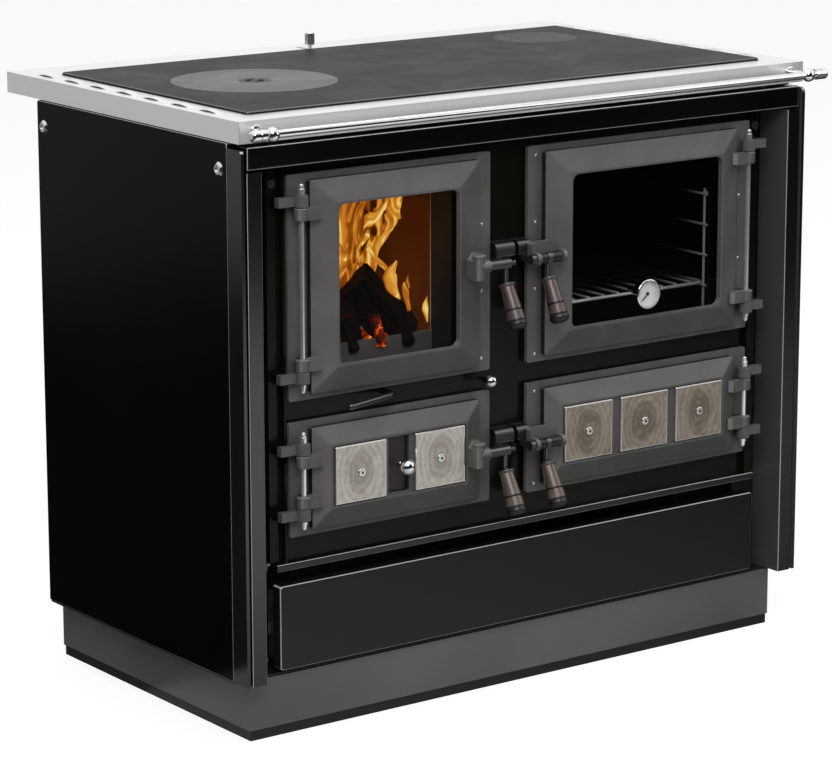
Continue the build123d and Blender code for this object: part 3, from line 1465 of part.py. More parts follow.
def make_spring(x0, x1, z, turns):
    """Open coil round the hub, from x0 to x1 along the pivot axis, with straight ends."""
    radius = (spring_diameter - spring_wire) / 2
    pitch = (x1 - x0 - spring_wire) / turns
    start = x0 + spring_wire / 2
    steps = 4 * turns
    points, tangents = [], []
    for n in range(steps + 1):
        angle = math.pi / 2 * n
        points.append(Vector(start + pitch * n / 4, handle_y + radius * math.cos(angle),
                             z + radius * math.sin(angle)))
        tangent = Vector(pitch / (2 * math.pi), -radius * math.sin(angle),
                         radius * math.cos(angle))
        tangents.append(tangent.normalized())
    edges = [Edge.make_line(points[0] - tangents[0] * spring_wire, points[0])]
    for n in range(steps):
        edges += biarc(points[n], tangents[n], points[n + 1], tangents[n + 1])
    edges.append(Edge.make_line(points[-1], points[-1] + tangents[-1] * spring_wire))
    path = Wire(edges)
    section = Plane(origin=path @ 0, z_dir=path % 0) * Circle(spring_wire / 2)
    samples = [points[n // 24] * (1 - n % 24 / 24) + points[n // 24 + 1] * (n % 24 / 24)
               for n in range(24 * steps)]
    least = min((a - b).length for i, a in enumerate(samples) for b in samples[i + 60::6])
    print("spring", round(x0, 1), "to", round(x1, 1), "least gap", round(least - spring_wire, 2))
    return sweep(section, path=path)


def handle_springs(z):
    """The two coils of a right-hand handle, one on each side of the stem's band."""
    band = spring_band / 2
    left = (bracket_free + lug_thick + spring_clearance, right_grip_x - band - spring_clearance)
    right = (right_grip_x + band + spring_clearance, bracket_inner - lug_thick - spring_clearance)
    springs = []
    for x0, x1 in (left, right):
        turns = int((x1 - x0 - spring_wire) / spring_pitch)
        springs.append(make_spring(x0, x1, z, turns))
    return springs


def make_grip(x, z):
    """Turned grip: collar bead, swelling body with two grooves, rounded end."""
    r0, r1 = grip_top_diameter / 2, grip_end_diameter / 2
    rc = grip_collar_diameter / 2
    length = grip_length

    def radius(t):
        return r0 + (r1 - r0) * t

    with BuildSketch(Plane.XZ) as half:
        with BuildLine():
            Line((grip_bore / 2, 0), (rc - 1, 0))
            RadiusArc((rc - 1, 0), (rc - 1, -grip_collar_height), grip_collar_height / 1.9)
            Line((rc - 1, -grip_collar_height), (r0, -grip_collar_height - 1))
            g1, g2 = 0.58 * length, 0.82 * length
            Line((r0, -grip_collar_height - 1), (radius(0.58), -g1))
            Line((radius(0.58), -g1), (radius(0.58) - 1, -g1 - 1))
            Line((radius(0.58) - 1, -g1 - 1), (radius(0.61), -g1 - 2))
            Line((radius(0.61), -g1 - 2), (radius(0.82), -g2))
            Line((radius(0.82), -g2), (radius(0.82) - 1, -g2 - 1))
            Line((radius(0.82) - 1, -g2 - 1), (radius(0.85), -g2 - 2))
            Line((radius(0.85), -g2 - 2), (r1, -length + 6))
            ThreePointArc((r1, -length + 6), (r1 * 0.82, -length + 1.6), (r1 * 0.45, -length))
            Line((r1 * 0.45, -length), (0, -length))
            Line((0, -length), (0, -tang_length - 2))
            Line((0, -tang_length - 2), (grip_bore / 2, -tang_length - 2))
            Line((grip_bore / 2, -tang_length - 2), (grip_bore / 2, 0))
        make_face()
    turned = revolve(half.sketch, Axis.Z)
    knee = Pos(x, handle_y, z - stem_drop)
    return knee * Rot(-grip_slant, 0, 0) * Pos(0, 0, -stem_diameter / 2 - 0.3) * turned


def make_catch(x0, x1, z):
    """Strike above the nose of a handle, with a rounded top."""
    z0 = z + nose_height / 2 + catch_clearance
    strike = block(x0, x1, plate_face - catch_depth, plate_face, z0, z0 + catch_height)
    strike = fillet(strike.edges().filter_by(Axis.X).sort_by(Axis.Z)[-2:].sort_by(Axis.Y)[0],
                    catch_round)
    return chamfer(strike.edges().filter_by(Axis.X).sort_by(Axis.Z)[:2].sort_by(Axis.Y)[0], 2.5)


def make_door_catches():
    left = (left_latch_x + catch_gap, left_latch_x + catch_gap + catch_width_left)
    right = (right_latch_x - catch_gap - catch_width_right, right_latch_x - catch_gap)
    pieces = []
    for z in (upper_handle_z, lower_handle_z):
        for x0, x1 in (left, right):
            pieces.append(make_catch(x0, x1, z))
    return pieces


# ---------------------------------------------------------------- thermometer
def make_thermometer_case():
    y0 = glass_front - thermo_depth
    cup = rod_y(thermo_x, y0, glass_front, thermo_z, thermo_diameter)
    cup = fillet(cup.edges().filter_by(GeomType.CIRCLE).sort_by(Axis.Y)[0], 2.0)
    cup -= rod_y(thermo_x, y0 - 1, y0 + 6, thermo_z, thermo_diameter - 2 * thermo_rim)
    probe = rod_y(thermo_x, glass_front, glass_back + thermo_probe_length, thermo_z, thermo_probe)
    nut = rod_y(thermo_x, glass_back, glass_back + 5, thermo_z, 2 * thermo_probe)
    return cup + probe + nut


def make_thermometer_dial():
    y0 = glass_front - thermo_depth
    return rod_y(thermo_x, y0 + 5, y0 + 6, thermo_z, thermo_diameter - 2 * thermo_rim - 0.4)


def make_thermometer_needle():
    """Pointer at its cold stop, lower left."""
    y0 = glass_front - thermo_depth
    hub = rod_y(thermo_x, y0 + 3.2, y0 + 4.7, thermo_z, 5.0)
    arm = Pos(thermo_x, y0 + 3.9, thermo_z) * Rot(0, -45, 0) * Pos(-needle_length / 2 + 1.5, 0, 0)
    arm *= Box(needle_length, 0.8, 1.4)
    return hub + arm


# ---------------------------------------------------------------- drawer
def make_drawer_front():
    y0 = plate_face - drawer_proud
    front = block(-drawer_half, drawer_half, y0, y0 + drawer_front_thick, drawer_bottom,
                  drawer_top)
    front = fillet(front.edges().filter_by(Axis.Y), drawer_fold_radius * 2)
    front = fillet(front.faces().sort_by(Axis.Y)[0].edges(), drawer_fold_radius)
    hollow = block(-drawer_half + sheet, drawer_half - sheet, y0 + sheet,
                   y0 + drawer_front_thick + 1, drawer_bottom + sheet, drawer_top - sheet)
    return front - hollow


def make_drawer_box():
    y0 = plate_face - drawer_proud + sheet
    y1 = y0 + drawer_box_depth
    z0 = drawer_bottom + drawer_box_lift
    z1 = z0 + drawer_box_height
    box = block(-drawer_box_half, drawer_box_half, y0, y1, z0, z1)
    box -= block(-drawer_box_half + sheet, drawer_box_half - sheet, y0 + sheet, y1 - sheet,
                 z0 + sheet, z1 + 1)
    slide_z = z0 + drawer_box_height / 2
    slide = block(-drawer_box_half - runner_reach + slide_play, -drawer_box_half,
                  web_face + 2 * sheet, y1, slide_z - slide_lap, slide_z + slide_thick)
    return box + slide + mirrored(slide)


# ---------------------------------------------------------------- build
os.makedirs("parts", exist_ok=True)

save("plinth_skirt", make_plinth_skirt())
save("base_frame", make_base_frame())
save("side_panels", *both_sides(make_side_panel()))
save("corner_posts", *both_sides(make_corner_post()))
save("back_panel", make_back_panel())
save("top_fascia", make_top_fascia())
save("front_plate", make_front_plate())
save("drawer_ledge", make_drawer_ledge())
save("drawer_bay", make_drawer_bay())
save("fixing_screws", *make_side_screws())
save("hob_frame", make_hob_frame())
save("hob_plate", make_hob_plate())
save("ring_cover", make_ring_cover())
save("ring_lid", make_ring_lid())
save("flue_cover", make_flue_cover())
save("front_rail", make_front_rail())
save("firebox_shell", make_firebox_shell())
save("firebricks", *make_firebricks())
save("grate_frame", make_grate_frame())
save("grate_shaker", make_grate_shaker())
save("shaker_rod", make_shaker_rod())
save("ash_pan", make_ash_pan())
save("air_lever", make_air_lever())
save("oven_shell", make_oven_shell())
save("rack_guides", *make_rack_guides())
save("oven_rack", make_oven_rack())
save("storage_box", make_storage_box())
save("flue_casing", make_flue_casing())
save("flue_collar", make_flue_collar())
save("damper_slide", make_damper_slide())
save("damper_knob", make_damper_knob())
save("hinge_pins", *make_hinge_pins())
save("door_catches", *make_door_catches())
save("fire_door_frame", make_fire_door())
save("fire_door_glass", door_glass(fire_window))
save("fire_glass_clips", *glass_clips(fire_window))
save("fire_door_seal", door_seal(fire_opening))
save("fire_handle_lever", make_left_lever(upper_handle_z))
save("fire_handle_grip", make_grip(left_grip_x, upper_handle_z))
save("oven_door_frame", make_oven_door())
oven_pane = mirrored(door_glass(oven_window))
probe_hole = rod_y(thermo_x, glass_front - 1, glass_back + 1, thermo_z, thermo_probe + 0.4)
save("oven_door_glass", oven_pane - probe_hole)
save("oven_glass_clips", *[mirrored(clip) for clip in glass_clips(oven_window)])
save("oven_door_seal", mirrored(door_seal(oven_opening)))
save("thermometer_case", make_thermometer_case(), make_thermometer_dial())
save("thermometer_needle", make_thermometer_needle())
save("oven_handle_lever", make_right_lever(upper_handle_z))
save("oven_handle_springs", *handle_springs(upper_handle_z))
save("oven_handle_grip", make_grip(right_grip_x, upper_handle_z))
save("ash_door_frame", make_ash_door())
save("ash_door_plates", *make_ash_plates())
save("air_slide", make_air_slide())
save("ash_handle_lever", make_left_lever(lower_handle_z))
save("ash_handle_grip", make_grip(left_grip_x, lower_handle_z))
save("storage_door_frame", make_storage_door())
save("storage_door_plates", *make_storage_plates())
save("storage_handle_lever", make_right_lever(lower_handle_z))
save("storage_handle_springs", *handle_springs(lower_handle_z))
save("storage_handle_grip", make_grip(right_grip_x, lower_handle_z))
save("drawer_box", make_drawer_box())
save("drawer_front", make_drawer_front())
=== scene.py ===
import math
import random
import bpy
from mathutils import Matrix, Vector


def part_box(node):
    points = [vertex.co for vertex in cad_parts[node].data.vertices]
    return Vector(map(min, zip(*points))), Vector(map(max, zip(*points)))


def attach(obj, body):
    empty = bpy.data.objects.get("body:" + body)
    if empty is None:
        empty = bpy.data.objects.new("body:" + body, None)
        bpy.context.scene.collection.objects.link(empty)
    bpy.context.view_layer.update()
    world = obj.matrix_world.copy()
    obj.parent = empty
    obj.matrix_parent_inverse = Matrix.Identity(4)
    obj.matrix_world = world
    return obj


bl_info = {
    "name": "Wood Cookstove",
    "version": (1, 0, 0),
    "blender": (4, 5, 0),
    "location": "View3D > Sidebar > Cookstove",
    "description": "Dresses the packed wood cookstove with its finishes, fire and stage",
    "category": "Object",
}

import bmesh
import bpy
from bpy.props import FloatProperty, FloatVectorProperty, IntProperty, PointerProperty
from bpy.types import Operator, Panel, PropertyGroup
from mathutils import Matrix, Vector, noise

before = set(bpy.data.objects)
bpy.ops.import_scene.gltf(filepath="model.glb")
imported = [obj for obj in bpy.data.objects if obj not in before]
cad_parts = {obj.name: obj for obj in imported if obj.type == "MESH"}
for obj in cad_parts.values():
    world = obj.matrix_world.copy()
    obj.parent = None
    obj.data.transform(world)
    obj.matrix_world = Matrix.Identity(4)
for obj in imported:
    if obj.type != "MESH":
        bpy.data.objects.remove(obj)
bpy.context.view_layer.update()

# ------------------------------------------------------------------ places on the stove
# Metres in the frame of the CAD: X to the right, Y to the back, Z up, from the floor's middle.
HOB_HALF_WIDTH, HOB_HALF_DEPTH = 0.5, 0.306
PLATE_SCREW_Y, PLATE_SCREW_X, PLATE_SCREW_Z = -0.268, 0.47, 0.3   # the two plate screws' bounds
LUG_FACE = -0.2905                          # hinge lugs stand in front of this
STEP_FRONT, STEP_BACK = -0.2966, -0.2878    # step wall between a door's flange and its body
FLANGE_SCREW_Y = -0.2875
FLANGE_SCREW_RADIUS = 0.0026
AIR_SLIDE_SEAT = -0.2950                    # the slide's plate lies behind this
# Depths between which the rack wire is painted from bright to dark.
RACK_BRIGHT, RACK_SHADED = -0.245, -0.17
CHANNEL_FRONT, CHANNEL_RIM, CHANNEL_BACK = -0.2665, -0.2164, -0.2146
DOORWAY_X, DOORWAY_HALF, DOORWAY_FOOT = -0.24, 0.1206, 0.47
DRAWER_FOOT, DRAWER_TOP = 0.10, 0.24

DIAL_X, DIAL_Z, DIAL_RADIUS = 0.206, 0.5525, 0.0189
DIAL_FRONT, DIAL_BACK = -0.3043, -0.3026
DIAL_MARK_Y, DIAL_MARK_RADIUS = -0.30405, 0.0172
DIAL_MARKS, DIAL_FIRST, DIAL_STEP = 31, -135, 9     # how many, and their angles in degrees

GRIP_SLANT = -25.0                          # degrees
GRIP_Y, GRIP_DROP = -0.3205, 0.025          # top of a grip, and how far it hangs under its hub
GRIP_COLLAR = 0.0078                        # these four are measured down the grip
GRIP_GROOVES = (0.0422, 0.0578)
GRIP_CAP_START, GRIP_CAP_END = 0.0585, 0.0605

TILE_RIM_OUT, TILE_RIM_IN = 0.0022, 0.0016  # bright rim, from the edge of a tile
TILE_SCREW, TILE_SOCKET = 0.0067, 0.0022
TILE_SCREW_FACE = 0.0032                    # behind the front of the plates

# Logs: name, start, end, width and depth as shares of the log width, roll and finish.
LOGS = (
    ("log_leaning", (-0.208, -0.146, 0.594), (-0.139, -0.181, 0.512), 1.0, 0.8, 0.3, "charcoal"),
    ("log_low", (-0.345, -0.150, 0.520), (-0.228, -0.180, 0.548), 0.8, 0.7, 0.3, "half_burnt"),
    ("log_back", (-0.330, -0.020, 0.515), (-0.165, -0.090, 0.520), 0.8, 0.8, 0.2, "charcoal"))
# Burnt ends over the guard: name, start, end, width and depth in metres, and finish.
STUBS = (
    ("stub_1", (-0.258, -0.200, 0.548), (-0.262, -0.231, 0.516), 0.013, 0.012, "charcoal"),
    ("stub_2", (-0.206, -0.195, 0.562), (-0.216, -0.231, 0.518), 0.012, 0.012, "glowing_coal"),
    ("stub_3", (-0.166, -0.200, 0.548), (-0.168, -0.231, 0.514), 0.015, 0.013, "charcoal"))
EMBER_RADIUS = 0.010
EMBER_BED = ((-0.345, -0.140), (-0.205, -0.02), (0.494, 0.518))

# Flames: heat, how far the sides are torn, and the spine as x, y, z and half the width.
FLAMES = (
    (0.0, 0.12, ((-0.235, -0.100, 0.50, 0.11), (-0.240, -0.105, 0.60, 0.11),
                 (-0.235, -0.115, 0.745, 0.115))),
    (-0.1, 0.12, ((-0.260, -0.120, 0.51, 0.06), (-0.250, -0.130, 0.62, 0.07),
                  (-0.235, -0.150, 0.745, 0.08))),
    (0.1, 0.22, ((-0.146, -0.110, 0.589, 0.006), (-0.155, -0.125, 0.614, 0.010),
                 (-0.163, -0.145, 0.641, 0.014), (-0.166, -0.165, 0.665, 0.024),
                 (-0.166, -0.180, 0.687, 0.024), (-0.163, -0.185, 0.706, 0.018),
                 (-0.152, -0.185, 0.722, 0.013), (-0.130, -0.185, 0.732, 0.005))),
    (0.1, 0.22, ((-0.215, -0.120, 0.551, 0.017), (-0.212, -0.125, 0.592, 0.013),
                 (-0.217, -0.135, 0.628, 0.012), (-0.228, -0.150, 0.657, 0.014),
                 (-0.228, -0.160, 0.679, 0.017), (-0.213, -0.166, 0.693, 0.018),
                 (-0.189, -0.166, 0.705, 0.017), (-0.161, -0.166, 0.718, 0.013))),
    (0.1, 0.22, ((-0.174, -0.100, 0.589, 0.008), (-0.171, -0.105, 0.633, 0.017),
                 (-0.171, -0.120, 0.656, 0.022), (-0.171, -0.135, 0.676, 0.022),
                 (-0.164, -0.150, 0.699, 0.018), (-0.147, -0.150, 0.724, 0.013))),
    (0.1, 0.22, ((-0.141, -0.160, 0.560, 0.010), (-0.152, -0.160, 0.588, 0.016),
                 (-0.149, -0.160, 0.604, 0.012), (-0.138, -0.160, 0.618, 0.002))),
    (0.1, 0.22, ((-0.132, -0.180, 0.548, 0.006), (-0.140, -0.180, 0.578, 0.010),
                 (-0.134, -0.180, 0.596, 0.009), (-0.122, -0.180, 0.614, 0.002))),
    (0.1, 0.22, ((-0.118, -0.207, 0.535, 0.004), (-0.122, -0.207, 0.559, 0.007),
                 (-0.119, -0.207, 0.576, 0.002))),
    (0.1, 0.22, ((-0.184, -0.150, 0.642, 0.004), (-0.166, -0.150, 0.621, 0.006),
                 (-0.150, -0.150, 0.606, 0.005), (-0.136, -0.150, 0.590, 0.002))))
FLAME_HEIGHT = 0.25                         # the height that the spines are drawn for
FLAME_FOOT = 0.008                          # over the bricks' lower edge
RIBBON_STEPS = 8                            # across a ribbon, and along it per spine point
RIBBON_LEAST = 0.0005                       # half width that a ribbon never falls below
RIBBON_BULGE = 0.02                         # half width past which it bulges no further

# Screw heads on the door flanges: x and z of each, by body.
FLANGE_SCREWS = {
    "fire_door": [(-0.084, z) for z in (0.684, 0.589, 0.492)],
    "oven_door": [(0.0115, z) for z in (0.773, 0.677, 0.581, 0.486)]
    + [(0.3935, z) for z in (0.676, 0.5815)],
    "storage_door": [(0.0115, z) for z in (0.431, 0.295)]}

FLOOR_HALF = 12.0
POST_FOOT_X, POST_FOOT_Y = -0.48, -0.31     # left post, where the floor's pale band starts
VIEW_X, VIEW_Y = 0.590, 0.807               # heading of the camera over the floor
CAMERA_PLACE = (-2.964, -4.068, 1.551)
CAMERA_YAW, CAMERA_PITCH, CAMERA_ROLL = 36.19, 12.99, -0.09     # degrees
LAMP_AIM = (0, 0, 0.45)
# Lamps: name, place, size, and power as a share of the key light's setting.
LAMPS = (("key", (-2.0, -3.0, 3.4), 2.0, 1.2), ("fill", (3.0, -2.4, 2.0), 2.4, 0.4),
         ("top", (0.2, 0.2, 3.4), 2.4, 0.6))


# ------------------------------------------------------------------ shader maths
class Wire:
    """A socket of a finish, with arithmetic that adds Math nodes."""

    def __init__(self, bench, socket):
        self.bench = bench
        self.socket = socket

    def math(self, operation, *others):
        values = {n: other for n, other in enumerate((self,) + others)}
        return self.bench.add("ShaderNodeMath", {"operation": operation}, values)

    def __add__(self, other):
        return self.math("ADD", other)

    __radd__ = __add__

    def __mul__(self, other):
        return self.math("MULTIPLY", other)

    __rmul__ = __mul__

    def __sub__(self, other):
        return self.math("SUBTRACT", other)

    def __rsub__(self, other):
        return self.bench.add("ShaderNodeMath", {"operation": "SUBTRACT"}, {0: other, 1: self})

    def __pow__(self, other):
        return self.math("POWER", other)

    def __lt__(self, other):
        return self.math("LESS_THAN", other)

    def __gt__(self, other):
        return self.math("GREATER_THAN", other)

    def __abs__(self):
        return self.math("ABSOLUTE")

    def least(self, other):
        return self.math("MINIMUM", other)

    def most(self, other):
        return self.math("MAXIMUM", other)

    def sine(self):
        return self.math("SINE")

    def ramp(self, low, high, to_low=0.0, to_high=1.0):
        """Straight ramp between two values, held at its ends."""
        return self.bench.add("ShaderNodeMapRange", {"clamp": True},
                              {"Value": self, "From Min": low, "From Max": high,
                               "To Min": to_low, "To Max": to_high})

    def smooth(self, low, high):
        return self.bench.add("ShaderNodeMapRange",
                              {"clamp": True, "interpolation_type": "SMOOTHSTEP"},
                              {"Value": self, "From Min": low, "From Max": high,
                               "To Min": 0.0, "To Max": 1.0})

    def between(self, low, high):
        return (self > low) * (self < high)


class Bench:
    """The node tree of one finish, ending in a Principled shader."""

    def __init__(self, name, **constants):
        self.material = bpy.data.materials.new(name)
        self.material.use_nodes = True
        self.tree = self.material.node_tree
        self.shader = self.tree.nodes["Principled BSDF"]
        for socket, value in constants.items():
            self.shader.inputs[socket.replace("_", " ")].default_value = value
        self.place = self.add("ShaderNodeTexCoord", out="Object")
        self.x, self.y, self.z = self.parts(self.place)

    def add(self, kind, settings=None, inputs=None, out=0):
        node = self.tree.nodes.new(kind)
        for key, value in (settings or {}).items():
            if key == "stops":
                ramp = node.color_ramp
                while len(ramp.elements) < len(value):
                    ramp.elements.new(0.5)
                for element, (spot, colour) in zip(ramp.elements, value):
                    element.position = spot
                    element.color = (*colour, 1.0)
            else:
                setattr(node, key, value)
        for key, value in (inputs or {}).items():
            socket = node.inputs[key]
            if isinstance(value, Wire):
                self.tree.links.new(value.socket, socket)
            else:
                socket.default_value = value
        return Wire(self, node.outputs[out])

    def set(self, socket, value):
        self.tree.links.new(value.socket, self.shader.inputs[socket])

    def parts(self, vector):
        split = self.add("ShaderNodeSeparateXYZ", {}, {0: vector}).socket.node
        return [Wire(self, socket) for socket in split.outputs]

    def local(self, centre=(0, 0, 0), turn=(0, 0, 0)):
        """Object coordinates about a centre, turned."""
        return self.add("ShaderNodeMapping", {"vector_type": "TEXTURE"},
                        {"Vector": self.place, "Location": centre, "Rotation": turn})

    def stretched(self, sx, sy, sz, vector=None):
        return self.add("ShaderNodeMapping", {},
                        {"Vector": vector or self.place, "Scale": (sx, sy, sz)})

    def noise(self, scale, detail=3.0, rough=0.5, distort=0.0, vector=None):
        return self.add("ShaderNodeTexNoise", {},
                        {"Vector": vector or self.place, "Scale": scale, "Detail": detail,
                         "Roughness": rough, "Distortion": distort})

    def facing(self):
        """The way the surface faces, as its x, y and z."""
        return self.parts(self.add("ShaderNodeTexCoord", out="Normal"))

    def rounded(self, low, high):
        """1 on rounded edges, 0 on faces that lie square to the axes."""
        most = None
        for part in self.facing():
            most = abs(part) if most is None else most.most(abs(part))
        return (1 - most).ramp(low, high)

    def colour(self, factor, a, b):
        """Mix of two colours, each a Wire or three numbers."""
        def four(c):
            return c if isinstance(c, Wire) else (*c, 1.0)
        return self.add("ShaderNodeMix", {"data_type": "RGBA"},
                        {0: factor, 6: four(a), 7: four(b)}, out=2)

    def stops(self, factor, *stops):
        return self.add("ShaderNodeValToRGB", {"stops": stops}, {0: factor})

    def bump(self, height, strength, distance):
        self.set("Normal", self.add("ShaderNodeBump", {}, {"Height": height, "Strength": strength,
                                                           "Distance": distance}))


def shade(colour, factor):
    return tuple(c * factor for c in colour)


def reach(a, b):
    """Distance from a centre, from its two parts."""
    return (a * a + b * b) ** 0.5


# ------------------------------------------------------------------ finishes
def brushed_steel(name, colour, sides=False):
    """Brushed along X, and along Y on the side borders, with mitred corners.

    The upright faces at its two sides are painted paler and made less metallic, as painted light
    on them.
    """
    b = Bench(name)
    upright = abs(b.facing()[0]) > 0.7
    b.set("Metallic", upright.ramp(0, 1, 0.55, 0.25))

    def brushing(sx, sy):
        fine = b.noise(1.0, 3.0, 0.55, vector=b.stretched(sx * 2600 + 3, sy * 2600 + 3, 2600))
        broad = b.noise(1.0, 2.0, 0.5, vector=b.stretched(sx * 260 + 2, sy * 260 + 2, 260))
        return fine * 0.65 + broad * 0.35
    streak = brushing(0, 1)
    if sides:
        side = (abs(b.x) - HOB_HALF_WIDTH) - (abs(b.y) - HOB_HALF_DEPTH)
        pick = side.ramp(-0.0004, 0.0004)
        streak = streak * (1 - pick) + brushing(1, 0) * pick
    smear = b.noise(4.0, 3.0, 0.6)
    lines = streak.ramp(0.3, 0.7)
    tone = b.colour(lines * 0.7 + smear.ramp(0.35, 0.7, 0.0, 0.3),
                    shade(colour, 0.88), shade(colour, 1.04))
    # painted light: the upright side faces are painted nearly white
    b.set("Base Color", b.colour(upright * 0.8, tone, (0.96, 0.96, 0.96)))
    b.set("Roughness", streak.ramp(0.3, 0.7, 0.26, 0.36) + smear.ramp(0.45, 0.7, 0.0, 0.05))
    b.bump(streak, 0.12, 0.0002)
    return b.material


def ground_iron(name, colour, centre=None):
    """Ground cast iron with pores and handling marks; turned rings about a centre."""
    b = Bench(name, Specular_IOR_Level=0.06)
    pores = b.noise(900.0, 2.0, 0.6)
    cloud = b.noise(9.0, 4.0, 0.65, 0.4)
    marks = b.noise(5.0, 3.0, 0.6, 1.4, b.stretched(1, 2.2, 1))
    tone = cloud.ramp(0.3, 0.75, 0.0, 0.5) + marks.ramp(0.46, 0.72, 0.0, 0.5)
    base = b.colour(tone, shade(colour, 0.7), shade(colour, 1.5))
    height = pores
    if centre:
        rings = (reach(b.x - centre[0], b.y - centre[1]) * 5200).sine()
        height = pores * 0.5 + rings * 0.5
        base = b.colour(rings.ramp(-1, 1, 0.0, 0.3), base, shade(colour, 1.5))
    b.set("Base Color", b.colour(b.rounded(0.02, 0.1), base, (0.16, 0.16, 0.16)))
    b.set("Roughness", cloud.ramp(0.3, 0.75, 0.44, 0.60))
    b.bump(height, 0.18, 0.0003)
    return b.material


def chrome(name, colour=(0.80, 0.80, 0.81), rough=0.05):
    b = Bench(name, Metallic=1.0)
    wipe = b.noise(40.0, 3.0, 0.6, 0.5)
    b.set("Base Color", b.colour(wipe.ramp(0.4, 0.7), colour, shade(colour, 0.9)))
    b.set("Roughness", wipe.ramp(0.35, 0.75, rough, rough + 0.06))
    return b.material


def rack_wire(name):
    """Plated rack wire: painted bright towards the window and painted dark further in, as painted
    light and shade.
    """
    b = Bench(name, Specular_IOR_Level=1.0)
    deep = b.y.smooth(RACK_BRIGHT, RACK_SHADED)
    wipe = b.noise(50.0, 3.0, 0.6, 0.5)
    # painted light and shade: near white by the window, dark grey further in
    b.set("Base Color", b.colour(deep, (0.95, 0.95, 0.95), (0.30, 0.30, 0.31)))
    b.set("Metallic", deep.ramp(0, 1, 0.3, 0.95))
    b.set("Roughness", wipe.ramp(0.35, 0.75, 0.14, 0.24))
    return b.material


def screw_finish(name, face):
    """Bright casing screws, and blackened screws in the front plate."""
    b = Bench(name, Roughness=0.16)
    dark = (b.y < PLATE_SCREW_Y) * (b.z > PLATE_SCREW_Z) * (abs(b.x) < PLATE_SCREW_X)
    wear = b.noise(90.0, 3.0, 0.6)
    b.set("Base Color", b.colour(dark, b.colour(wear.ramp(0.4, 0.7), face, shade(face, 0.7)),
                                 (0.035, 0.035, 0.035)))
    b.set("Metallic", 1 - dark * 0.7)
    return b.material


def gloss_enamel(name, colour, rough=0.16, level=0.4, edge=0.6, lit=0.0, fade=None):
    """Fired enamel: deep colour, faint orange peel, and a painted highlight of tone edge over its
    rounded edges.

    lit is the tone of a painted highlight on faces that look inward on the right half, and fade
    holds two heights between which the colour darkens, less at the left than at the right: painted
    reflection.
    """
    b = Bench(name, Specular_IOR_Level=level, Coat_Roughness=0.06)
    haze = b.noise(3.0, 3.0, 0.6, 0.6)
    # rim: rounded edges, painted paler in tone edge as a painted highlight, and given coat
    rim = b.rounded(0.10, 0.2)
    base = b.colour(haze.ramp(0.35, 0.8), colour, tuple(c * 1.6 + 0.001 for c in colour))
    if fade:
        # painted reflection: darker upward and to the right
        deep = b.z.ramp(*fade) * 0.7 + b.x.ramp(-0.45, 0.45) * 0.3
        base = b.colour(deep, shade(colour, 3.2), shade(colour, 0.4))
    if lit:
        # painted highlight: inward faces on the right half take the tone lit
        inward = (b.facing()[0] < -0.5) * (b.x > 0)
        base = b.colour(inward, base, (lit, lit, lit))
    b.set("Base Color", b.colour(rim, base, (edge, edge, edge)))
    b.set("Roughness", haze.ramp(0.3, 0.8, rough, rough + 0.06))
    b.set("Coat Weight", rim.most(haze.ramp(0.3, 0.8, level * 0.2, level * 0.08)))
    b.bump(b.noise(260.0, 2.0, 0.5), 0.04, 0.0005)
    return b.material


def plate_finish(name, colour, cast):
    """Front plate: olive black enamel, its hinge lugs in the paint of the doors."""
    b = Bench(name, Specular_IOR_Level=0.12, Coat_Roughness=0.06)
    lug = b.y < LUG_FACE
    grain = b.noise(1400.0, 2.0, 0.6)
    haze = b.noise(4.0, 3.0, 0.6, 0.6)
    # rim: rounded edges off the lugs, painted paler as a painted highlight
    rim = b.rounded(0.05, 0.15) * (1 - lug)
    paint = b.colour(grain.ramp(0.3, 0.7), shade(cast, 0.8), shade(cast, 1.2))
    base = b.colour(haze.ramp(0.35, 0.8), colour, shade(colour, 1.8))
    b.set("Base Color", b.colour(lug, b.colour(rim, base, (0.12, 0.12, 0.11)), paint))
    b.set("Roughness", lug.ramp(0, 1, 0.14, 0.5) + haze.ramp(0.3, 0.8, 0.0, 0.06))
    b.set("Coat Weight", rim)
    b.bump(grain * lug + b.noise(260.0, 2.0, 0.5) * (1 - lug) * 0.2, 0.2, 0.0005)
    return b.material


def matte_cast(name, colour, rough=0.55, level=0.5):
    """Painted cast iron: sandy grain, soft mottling and paler edges.

    Slopes that face up or left are painted paler and those that face down or right darker, as
    painted light and shade, and the step walls of the doors are painted nearly black, as painted
    shade.
    """
    b = Bench(name, Specular_IOR_Level=level)
    grain = b.noise(1500.0, 2.0, 0.6)
    sand = b.noise(420.0, 2.0, 0.55)
    cloud = b.noise(14.0, 4.0, 0.6, 0.3)
    tone = cloud.ramp(0.3, 0.75, 0.0, 0.65) + grain.ramp(0.4, 0.8, 0.0, 0.35)
    nx, ny, nz = b.facing()
    # painted light and shade by the way each face slopes
    slope = nz.ramp(-0.35, 0.35, -0.50, 0.32) - nx.ramp(-0.35, 0.35, -0.25, 0.25)
    base = b.colour(tone * 0.6 + slope + 0.2, shade(colour, 0.48), shade(colour, 1.5))
    # painted shade: the step walls of the doors are painted nearly black
    wall = (abs(ny) < 0.3) * b.y.between(STEP_FRONT, STEP_BACK)
    base = b.colour(wall, base, shade(colour, 0.12))
    b.set("Base Color", b.colour(b.rounded(0.12, 0.24) * 0.6, base, (0.27, 0.27, 0.265)))
    b.set("Roughness", cloud.ramp(0.3, 0.7, rough - 0.06, rough + 0.06))
    b.bump(sand * 0.6 + grain * 0.4, 0.3, 0.0005)
    return b.material


